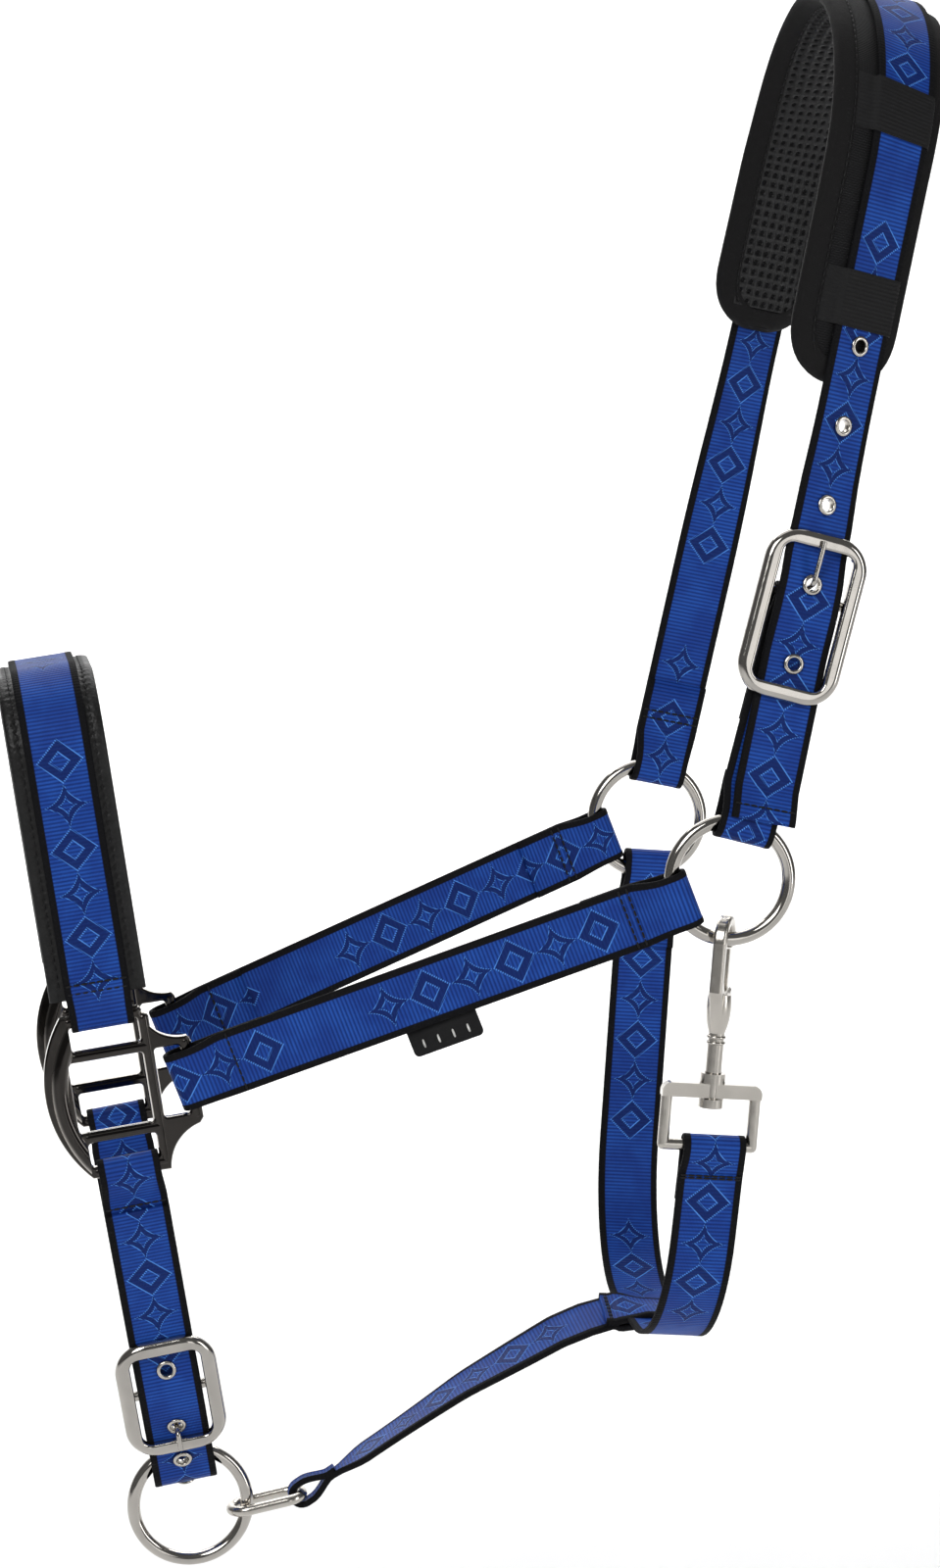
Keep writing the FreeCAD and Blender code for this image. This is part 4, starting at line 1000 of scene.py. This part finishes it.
def nose_sleeve():
    """Black grained sleeve: puffed along both edges, puckered by its stitching."""
    route = nose_line(8.0)
    places, marks = [], []
    s = 0.0
    while s < route.length:
        origin, _, out = on_route(route, nose, s)
        places.append((origin, nose.side, out))
        marks.append(s)
        s += PUCKER / 4

    def section(i):
        wave = PUCKER_DEEP * math.sin(2 * math.pi * marks[i] / PUCKER)
        close = 0.75 + 0.25 * smoothstep(0, 8, min(i, len(places) - 1 - i))
        under = [(0.85, -4.6), (0.5, -5.2), (0.0, -5.3), (-0.5, -5.2), (-0.85, -4.6)]
        face = [(-0.94, -0.75), (-0.87, -0.45), (-0.80, -0.55 + wave), (-0.74, -0.85 + wave),
                (-0.69, -0.55), (0.0, -0.35), (0.69, -0.55), (0.74, -0.85 - wave),
                (0.80, -0.55 - wave), (0.87, -0.45), (0.94, -0.75)]
        outline = [(-1.0, -2.4), (-0.985, -1.4)] + face + [(0.985, -1.4), (1.0, -2.4), (0.96, -3.7)]
        return [(a * (NOSE_PAD_W / 2), SLEEVE_MID + (n - SLEEVE_MID) * close)
                for a, n in outline + under + [(-0.96, -3.7)]]

    sleeve = tube_of_sections("noseband_sleeve_leather", places, section)
    finish_piece(sleeve, "nose", LEATHER, ["noseband_sleeve", "noseband_foam"])
    seams = []
    sewn = places[6:-6:4]
    for a in (-SLEEVE_SEAM, SLEEVE_SEAM):
        line = [o + w * (a * NOSE_PAD_W / 2) + out * -0.55 for o, w, out in sewn]
        seams += row_of_stitches(line, nearest(line, [out for _, _, out in sewn]), *EDGE_STITCH, 0.3)
    return seams


nose_seams += nose_sleeve()
for line in (near_nose, far_nose):
    nose_seams += cross_seam(line.frame(), NOSE_SEAM, doubled=3.4)


# ---- chin: chape and buckle on the near side, billet from the far fitting through the chin ring
chin_lean = unit2((SQUARE_HALF_SPAN, 0), (0, -CHIN_APEX))
near_chin = Side(chin, (SQUARE_HALF_SPAN, BOTTOM_BAR), chin_lean)
far_chin = near_chin.mirrored()
chin_frame_top = CHIN_BAR_S + CHIN_BUCKLE_L / 2
chin_knots = [(18.5, BILLET_LOW)] + weave(CHIN_BAR_S, chin_frame_top, CHIN_BAR_S - 17)
chin_knots.append((chin_frame_top + 9.5, 0))
chin_route = Route([near_chin.flat(s, n) for s, n in chin_knots] +
                   [(0, BOTTOM_BAR - CHIN_APEX), far_chin.flat(12.5, 0)],
                   [14] * (len(chin_knots) - 1) + [CHIN_BEND], 4.0)
chin_eyelet_s = [near_chin.distance(chin_route, CHIN_BAR_S + s) for s in CHIN_EYELETS]
chin_spots = []
for s in chin_eyelet_s + [chin_route.length - CHIN_LAST_EYELET]:
    origin, _, axis = on_route(chin_route, chin, s)
    chin_spots.append((origin + axis * (WEB_T / 2), axis))
chin_stations = along(chin_route, chin) + last_eye(far_chin, (*CHIN_END, 26.0, CHIN_END_W))
add_webbing("chin_billet_webbing", "nose", "chin_billet", chin_stations, 30.0, holes_for(chin_spots))
add_eyelets("chin_eyelets_rolled", "nose", "chin_eyelets", chin_spots)
add_chape("chin_chape", "nose", near_chin.frame(), eye(*CHIN_END, 40.0, CHIN_END_W), CHIN_BAR_S,
          chin.side, 20.0)
nose_seams += cross_seam(near_chin.frame(), CHIN_SEAM, doubled=0)
nose_seams += seam_through(far_chin.frame(), CHIN_SEAM)
# ---- throat strap: from the far ring, under the jowl, up to the snap's eye on the near side
throat_wire = (RING_HALF_SPAN, -RING_R)
throat_near = (-RING_HALF_SPAN, EYE_ROD)
far_drop = unit2(throat_wire, (THROAT_HALF, -THROAT_DEPTH))
near_drop = unit2(throat_near, (-THROAT_HALF, -THROAT_DEPTH))
far_throat = Side(throat, foot_behind(throat_wire, far_drop), far_drop)
near_throat = Side(throat, throat_near, near_drop, (near_drop[1], -near_drop[0]))
throat_shift = throat.side * THROAT_SHIFT
throat_route = Route([far_throat.flat(36, 0), (THROAT_HALF, -THROAT_DEPTH), (-THROAT_HALF, -THROAT_DEPTH),
                      near_throat.flat(13, 0)], [THROAT_BEND, THROAT_BEND])
throat_stations = first_eye(far_throat, THROAT_HIGH_END) + along(throat_route, throat)
throat_stations += last_eye(near_throat, THROAT_LOW_END)
add_webbing("throat_webbing", "nose", "throat_strap",
            [(p + throat_shift, w, half) for p, w, half in throat_stations], 70.0)


def shifted(place):
    return place[0] + throat_shift, place[1], place[2]


nose_seams += cross_seam(shifted(near_throat.frame()), THROAT_LOW_SEAM, WEB_T + 0.4, 1.0)
nose_seams += seam_through(shifted(far_throat.frame()), THROAT_HIGH_SEAM)


# ---- jaw strap: looped round the throat strap, running forward to the link in the chin ring
LINK_AT = (-168.8, -260.6)
LINK_L = 33.0
LINK_ROD_R = 2.1
LINK_RISE = 2.9
JAW_START = 21.0         # where the sewn loop gives way to the route, behind the throat strap
JAW_MIDDLE = (-52.0, -195.0)
JAW_LOW = (-90.0, -215.5)
JAW_LEAD = 14.0          # the route's end, ahead of the link's bar
JAW_NARROW = 16.0        # length over which the strap is gathered
jaw = Plane((0, 0, 0), (1, 0, 0), (0, 0, 1))
throat_low = throat.point(0, -THROAT_DEPTH - WEB_T / 2) + throat_shift
ahead = -throat.side
LINK_BACK = (LINK_AT[0] + LINK_L / 2 - LINK_ROD_R, LINK_AT[1] + LINK_RISE)
jaw_start = throat_low + ahead * JAW_START
jaw_in = unit2(LINK_BACK, JAW_LOW)
jaw_end = (LINK_BACK[0] + jaw_in[0] * JAW_LEAD, LINK_BACK[1] + jaw_in[1] * JAW_LEAD)
jaw_route = Route([(jaw_start.x, jaw_start.z), JAW_MIDDLE, JAW_LOW, jaw_end], [30, 100], 4.0)


def jaw_roll(x):
    """The strap's roll towards the near side, from its distance to the throat strap."""
    rise = smoothstep(2, 16, x)
    ease = smoothstep(26, 130, x)
    return math.radians(JAW_ROLL * rise - (JAW_ROLL - JAW_FAR_ROLL) * ease)


def rolled(point, out, angle, centre):
    """A station of the jaw strap, turned about the strap's own line."""
    w = jaw.side * math.cos(angle) + out * math.sin(angle)
    lift = (point - centre).dot(out)
    turned = out * math.cos(angle) - jaw.side * math.sin(angle)
    return centre + turned * lift, w


def jaw_stations():
    """The jaw strap rolls to the near side and is gathered narrow at the link."""
    up = ahead.cross(SIDE)
    made = []
    for x, n, width in eye(*JAW_EYE, JAW_W, JAW_W)[:-2]:
        centre = throat_low + ahead * x
        point, w = rolled(centre + up * n, up, jaw_roll(x), centre)
        made.append((point, w, width / 2))
    for s in [m for m in jaw_route.s if m > 4]:
        origin, _, out = on_route(jaw_route, jaw, s)
        centre = origin + out * (WEB_T / 2)
        narrow = smoothstep(jaw_route.length - JAW_NARROW, jaw_route.length, s)
        angle = jaw_roll(JAW_START + s) * (1 - 0.5 * narrow)
        width = JAW_W + (JAW_TIP_W - JAW_W) * narrow
        made.append((centre, rolled(centre, out, angle, centre)[1], width / 2))
    tip_place = (Vector((LINK_BACK[0], 0, LINK_BACK[1])), jaw.direction(*jaw_in),
                 jaw.direction(jaw_in[1], -jaw_in[0]))
    tip = eye(*JAW_TIP_EYE, JAW_TIP_W, JAW_TIP_W)
    made += placed(tip[::-1], tip_place, jaw.side)[3:]
    return made


jaw_run = jaw_stations()
add_webbing("jaw_webbing", "nose", "jaw_strap", jaw_run, 50.0, thickness=JAW_T)
flap_up = SIDE.cross(ahead)
for flap_point, flap_across, _ in (jaw_run[1], jaw_run[4]):
    seam_middle = flap_point + flap_up * (JAW_T / 2 + 0.1)
    seam_ends = [seam_middle + flap_across * (side * (JAW_W / 2 - SEAM_INSET)) for side in (-1, 1)]
    nose_seams += row_of_stitches(seam_ends, lambda p: flap_up)
seam_object("nose_stitching", nose_seams, "nose")


# ---- crown pad: cover and binding, perforated lining, keepers and stitching
PAD_R = PAD_W / 2        # radius of the pad's rounded ends
PAD_STEP = 5.0
PAD_COLUMNS = 16
BIND_W = 7.5
PAD_EDGE_OUT = -2.6
PAD_EDGE_IN = -5.6


def pad_half(s):
    """The pad's half width, with rounded ends."""
    near_end = min(s - pad_begin, pad_stop - s)
    if near_end >= PAD_R:
        return PAD_R
    share = max(PAD_R - max(near_end, 0.0), 0.0) / PAD_R
    return PAD_R * max(1 - share ** 2.4, 0.0) ** (1 / 2.4)


def pad_marks():
    """Distances along the crown at which the pad is cut, closer together at its ends."""
    angles = [math.radians(90 * i / 12) for i in range(13)]
    ends = [pad_begin + PAD_R * (1 - math.cos(angle)) + 0.3 for angle in angles]
    straight = pad_stop - pad_begin - 2 * PAD_R
    count = int(straight / PAD_STEP)
    run = [pad_begin + PAD_R + straight * i / count for i in range(1, count)]
    return ends + run + [pad_begin + pad_stop - m for m in ends[::-1]]


def pad_outline():
    marks = pad_marks()
    return [(s, pad_half(s)) for s in marks] + [(s, -pad_half(s)) for s in marks[::-1]]


def pad_face(edge, crest, power):
    """A function that gives the height of one face of the pad at a, where it is half wide."""
    return lambda a, half: edge + (crest - edge) * (1 - min(abs(a) / half, 1.0) ** power)


pad_outside = pad_face(PAD_EDGE_OUT, -RUN - 0.1, 3.2)
pad_inside = pad_face(PAD_EDGE_IN, -RUN - PAD_T, 2.6)


def pad_core():
    """The padded body: cover outside, foam within, drawn in to the binding all round."""
    marks = pad_marks()
    places = [crown_place(s) for s in marks]
    places = [(o + w * PAD_SHIFT, w, out) for o, _, w, out in places]
    inset = 1.5

    def section(i):
        half = max(pad_half(marks[i]) - inset, 0.3)
        columns = [half * (-1 + 2 * k / PAD_COLUMNS) for k in range(PAD_COLUMNS + 1)]
        points = [(a, pad_outside(a, half + inset)) for a in columns]
        return points + [(-a, pad_inside(a, half + inset) + 0.5) for a in columns]
    core = tube_of_sections("crown_pad_padded_cover", places, section)
    finish_piece(core, "crown", COVER, ["crown_pad_cover", "crown_pad_foam"])


def pad_binding():
    """Tape folded over the pad's edge and sewn through, all the way round."""
    outline = pad_outline()
    total = len(outline)
    across = [(0.0, 1.0), (0.12, 0.93), (0.3, 0.9), (0.6, 0.9), (0.9, 0.88), (1.0, 0.6)]
    row = [(share * BIND_W, puff, pad_outside, 1) for share, puff in across[::-1]]
    row.append((-0.9, 0.0, None, 0))
    row += [(share * BIND_W, puff, pad_inside, -1) for share, puff in across]
    count = len(row)
    verts, faces, uvs = [], [], []
    travelled = 0.0
    for i, (s, a) in enumerate(outline):
        before, after = outline[i - 1], outline[(i + 1) % total]
        ds, da = after[0] - before[0], after[1] - before[1]
        size = math.hypot(ds, da) or 1.0
        inward = (-da / size, ds / size)
        if inward[0] * (poll_s - s) - inward[1] * a * 40 < 0:
            inward = (-inward[0], -inward[1])
        for inset, puff, height, sign in row:
            ps, pa = s + inward[0] * inset, a + inward[1] * inset
            half = max(pad_half(ps), 0.5)
            if height is None:
                n = (PAD_EDGE_OUT + PAD_EDGE_IN) / 2
            else:
                n = height(min(abs(pa), half), half) + sign * (0.55 * puff)
            verts.append(crown_point(ps, pa + PAD_SHIFT, n))
            uvs.append((travelled / WEB_W, inset / WEB_W))
        travelled += size / 2
    for i in range(total):
        j = (i + 1) % total
        for k in range(count - 1):
            faces.append((i * count + k, i * count + k + 1, j * count + k + 1, j * count + k))
    made = new_object("crown_pad_binding_tape", verts, faces, uvs)
    thick = made.modifiers.new("thickness", "SOLIDIFY")
    thick.thickness = 0.0005
    thick.offset = -1
    finish_piece(made, "crown", BINDING, ["crown_pad_binding"])


def pad_lining():
    """The lining inside the binding: a sheet with rows of round perforations."""
    pitch = 4.0
    radius = 1.15
    depth = 0.9
    verts, faces = [], []
    columns = int((PAD_W - 2 * BIND_W + 1) / pitch)
    rows = int((pad_stop - pad_begin - 2 * BIND_W) / pitch)
    angles = [math.radians(45 * k) for k in range(8)]
    hole = [(math.cos(angle) * radius, math.sin(angle) * radius) for angle in angles]
    cell = [(x * pitch / 2, y * pitch / 2) for x, y in
            ((1, 0), (1, 1), (0, 1), (-1, 1), (-1, 0), (-1, -1), (0, -1), (1, -1))]
    first = (pad_begin + pad_stop - (rows - 1) * pitch) / 2
    for i in range(rows):
        s = first + i * pitch
        for j in range(columns):
            a = (j - (columns - 1) / 2) * pitch
            if abs(a) > pad_half(s) - BIND_W + 0.8:
                continue
            base = len(verts)
            for points, sunk in ((cell, 0.0), (hole, 0.0), (hole, depth)):
                for x, y in points:
                    n = pad_inside(a + y, PAD_R) - 0.15 + sunk
                    verts.append(crown_point(s + x, a + y + PAD_SHIFT, n))
            faces += [tuple(base + i for i in f) for f in grid_faces(3, 8)]
            faces.append(tuple(base + 16 + k for k in range(8)))
    made = new_object("crown_pad_perforated_lining", verts, faces)
    weld = made.modifiers.new("weld", "WELD")
    weld.merge_threshold = 0.00005
    finish_piece(made, "crown", LINING, ["crown_pad_lining"])


KEEPER_L = 21.0
KEEPER_T = 0.45
KEEPER_RIB = 0.16        # height of its ribs, four rows apart
KEEPER_ROWS = 57


def keepers():
    """Ribbed elastic bands that hold the strap on the pad."""
    parts = []
    half = WEB_W / 2
    rim = PAD_R - 4.0
    path = [(-rim + PAD_SHIFT, -1.2), (-half - 2.5, -0.1), (-half - 0.8, 0.6), (-half - 0.2, 1.9),
            (-half + 1.5, 2.3), (-6, 2.25), (0, 2.25), (6, 2.25), (half - 1.5, 2.3), (half + 0.2, 1.9),
            (half + 0.8, 0.6), (half + 2.0, -0.3), (rim + PAD_SHIFT, -1.2)]
    count = len(path)
    shift = KEEPER_ROWS * count
    for d in KEEPERS:
        verts = []
        for sunk in (0.0, KEEPER_T):
            for i in range(KEEPER_ROWS):
                s = poll_s + d - KEEPER_L / 2 + KEEPER_L * i / (KEEPER_ROWS - 1)
                wave = KEEPER_RIB * math.sin(2 * math.pi * i / 4)
                verts += [crown_point(s, a, n - sunk + wave) for a, n in path]
        top = grid_faces(KEEPER_ROWS, count, closed=False)
        faces = top + [tuple(shift + v for v in quad[::-1]) for quad in top]
        for i in range(KEEPER_ROWS - 1):
            for k, order in ((0, 1), (count - 1, -1)):
                a, b = i * count + k, (i + 1) * count + k
                faces.append((a, b, shift + b, shift + a)[::order])
        for k in range(count - 1):
            for i, order in ((0, -1), (KEEPER_ROWS - 1, 1)):
                a = i * count + k
                faces.append((a, a + 1, shift + a + 1, shift + a)[::order])
        parts.append((verts, faces))
    made = join_meshes("crown_keepers_elastic", parts)
    finish_piece(made, "crown", KEEPER, ["crown_keepers"])


pad_core()
pad_binding()
pad_lining()
keepers()


def edge_line(height, sign):
    """A seam line inside the pad's edge on one face, with its surface normals."""
    line, ups = [], []
    for s, a in pad_outline():
        half = pad_half(s)
        if half < PAD_R - 4:
            continue
        pa = math.copysign(half - BIND_W + 1.0, a)
        line.append(crown_point(s, pa + PAD_SHIFT, height(pa, half) + 0.65 * sign))
        ups.append(crown_place(s)[3] * sign)
    return line, ups


crown_seams = []
for height, sign in ((pad_outside, 1), (pad_inside, -1)):
    line, ups = edge_line(height, sign)
    turn = len(line) // 2
    for part in (slice(0, turn), slice(turn, None)):
        crown_seams += row_of_stitches(line[part], nearest(line[part], ups[part]), *EDGE_STITCH, 0.28)
crown_seams += seam_through(far_crown.frame(), CROWN_FAR_SEAM)
crown_seams += cross_seam(chape_place, CHAPE_SEAM, -SEAM_N)
tip, tip_along, _, tip_out = crown_place(5.0)
crown_seams += cross_seam((tip, tip_along, tip_out), 0.0, doubled=0)
seam_object("crown_stitching", crown_seams, "crown")

# ---- metal parts keep their own shapes
metal_nodes = {
    CHROME: ("near_ring", "far_ring", "chin_ring", "crown_buckle_frame", "chin_buckle_frame", "crown_tongue",
             "chin_tongue"),
    CHROME_PAINTED_DARK_REFLECTION: ("near_square", "far_square"),
    NICKEL: ("oblong_link", "snap_eye", "snap_hook", "snap_rivet_head", "snap_gate_pin", "snap_gate")}
for material, names in metal_nodes.items():
    for node in names:
        NODES[node].data.materials.clear()
        NODES[node].data.materials.append(material)


# ---- camera: a long lens from the near side, a little ahead of the halter and above its middle
AZIMUTH = math.radians(-7.97)
ELEVATION = math.radians(7.41)
CAMERA_AT = (-299.0, -1516.0, 226.0)
LENS = 90.1
back = Vector((math.sin(AZIMUTH) * math.cos(ELEVATION), -math.cos(AZIMUTH) * math.cos(ELEVATION),
               math.sin(ELEVATION)))
camera_data = bpy.data.cameras.new("camera")
camera_data.lens = LENS
camera_data.sensor_width = 36.0
camera_data.clip_end = 20.0
camera = add_object("camera", camera_data)
camera.location = world(CAMERA_AT)
aim(camera, -back)
bpy.context.scene.camera = camera


# ---- stage: pale floor, soft lights
FLOOR_DROP = 0.12        # metres of air under the hanging halter
SWEEP_FRONT = -3.0
SWEEP_BACK = 2.4
SWEEP_R = 1.0
SWEEP_TOP = 4.0
SWEEP_HALF = 5.0


def sweep():
    """A pale paper floor that curves up into a backdrop."""
    floor_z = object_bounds()[0].z - FLOOR_DROP
    profile = [(SWEEP_FRONT, floor_z)]
    for i in range(17):
        angle = math.radians(-90 + 90 * i / 16)
        profile.append((SWEEP_BACK + SWEEP_R * math.cos(angle), floor_z + SWEEP_R * (1 + math.sin(angle))))
    profile.append((SWEEP_BACK + SWEEP_R, SWEEP_TOP))
    verts = [(x, y, z) for y, z in profile for x in (-SWEEP_HALF, SWEEP_HALF)]
    faces = [(2 * i, 2 * i + 1, 2 * i + 3, 2 * i + 2) for i in range(len(profile) - 1)]
    mesh = bpy.data.meshes.new("floor_sweep")
    mesh.from_pydata(verts, [], faces)
    mesh.polygons.foreach_set("use_smooth", [True] * len(faces))
    mesh.materials.append(Shader("floor_pale", (0.93, 0.93, 0.93), 0.8, specular=0.1).material)
    obj = add_object("floor_sweep", mesh)
    obj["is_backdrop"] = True


sweep()


def area_light(name, place, target, size, power):
    """A soft rectangular lamp; places are in metres from the middle between the side rings."""
    data = bpy.data.lights.new(name, "AREA")
    data.shape = "RECTANGLE"
    data.size, data.size_y = size
    data.energy = power
    obj = add_object(name, data)
    obj.location = ORIGIN + Vector(place)
    aim(obj, Vector(target) - Vector(place))


area_light("key", (-1.0, -1.5, 1.1), (-0.1, 0.0, 0.0), (0.9, 1.1), 22)
area_light("front_card", (0.55, -2.2, 0.05), (-0.05, 0.0, 0.0), (0.5, 1.0), 2.2)
area_light("fill", (1.5, -1.2, 0.2), (-0.1, 0.0, 0.0), (0.5, 1.6), 10)
area_light("top", (0.0, 0.3, 1.6), (0.0, 0.0, 0.0), (1.6, 1.0), 5)
area_light("wash_wall", (0.0, 1.6, 1.9), (0.0, 3.4, 0.2), (3.0, 0.8), 70)
area_light("wash_floor", (0.0, 1.6, 1.9), (0.0, 1.9, -0.5), (3.0, 0.8), 38)

sky = bpy.data.worlds.new("studio")
bpy.context.scene.world = sky
sky.use_nodes = True
sky.node_tree.nodes["Background"].inputs["Color"].default_value = (1.0, 1.0, 1.0, 1)
sky.node_tree.nodes["Background"].inputs["Strength"].default_value = 0.13
bpy.context.scene.view_settings.view_transform = "Standard"

low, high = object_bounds()
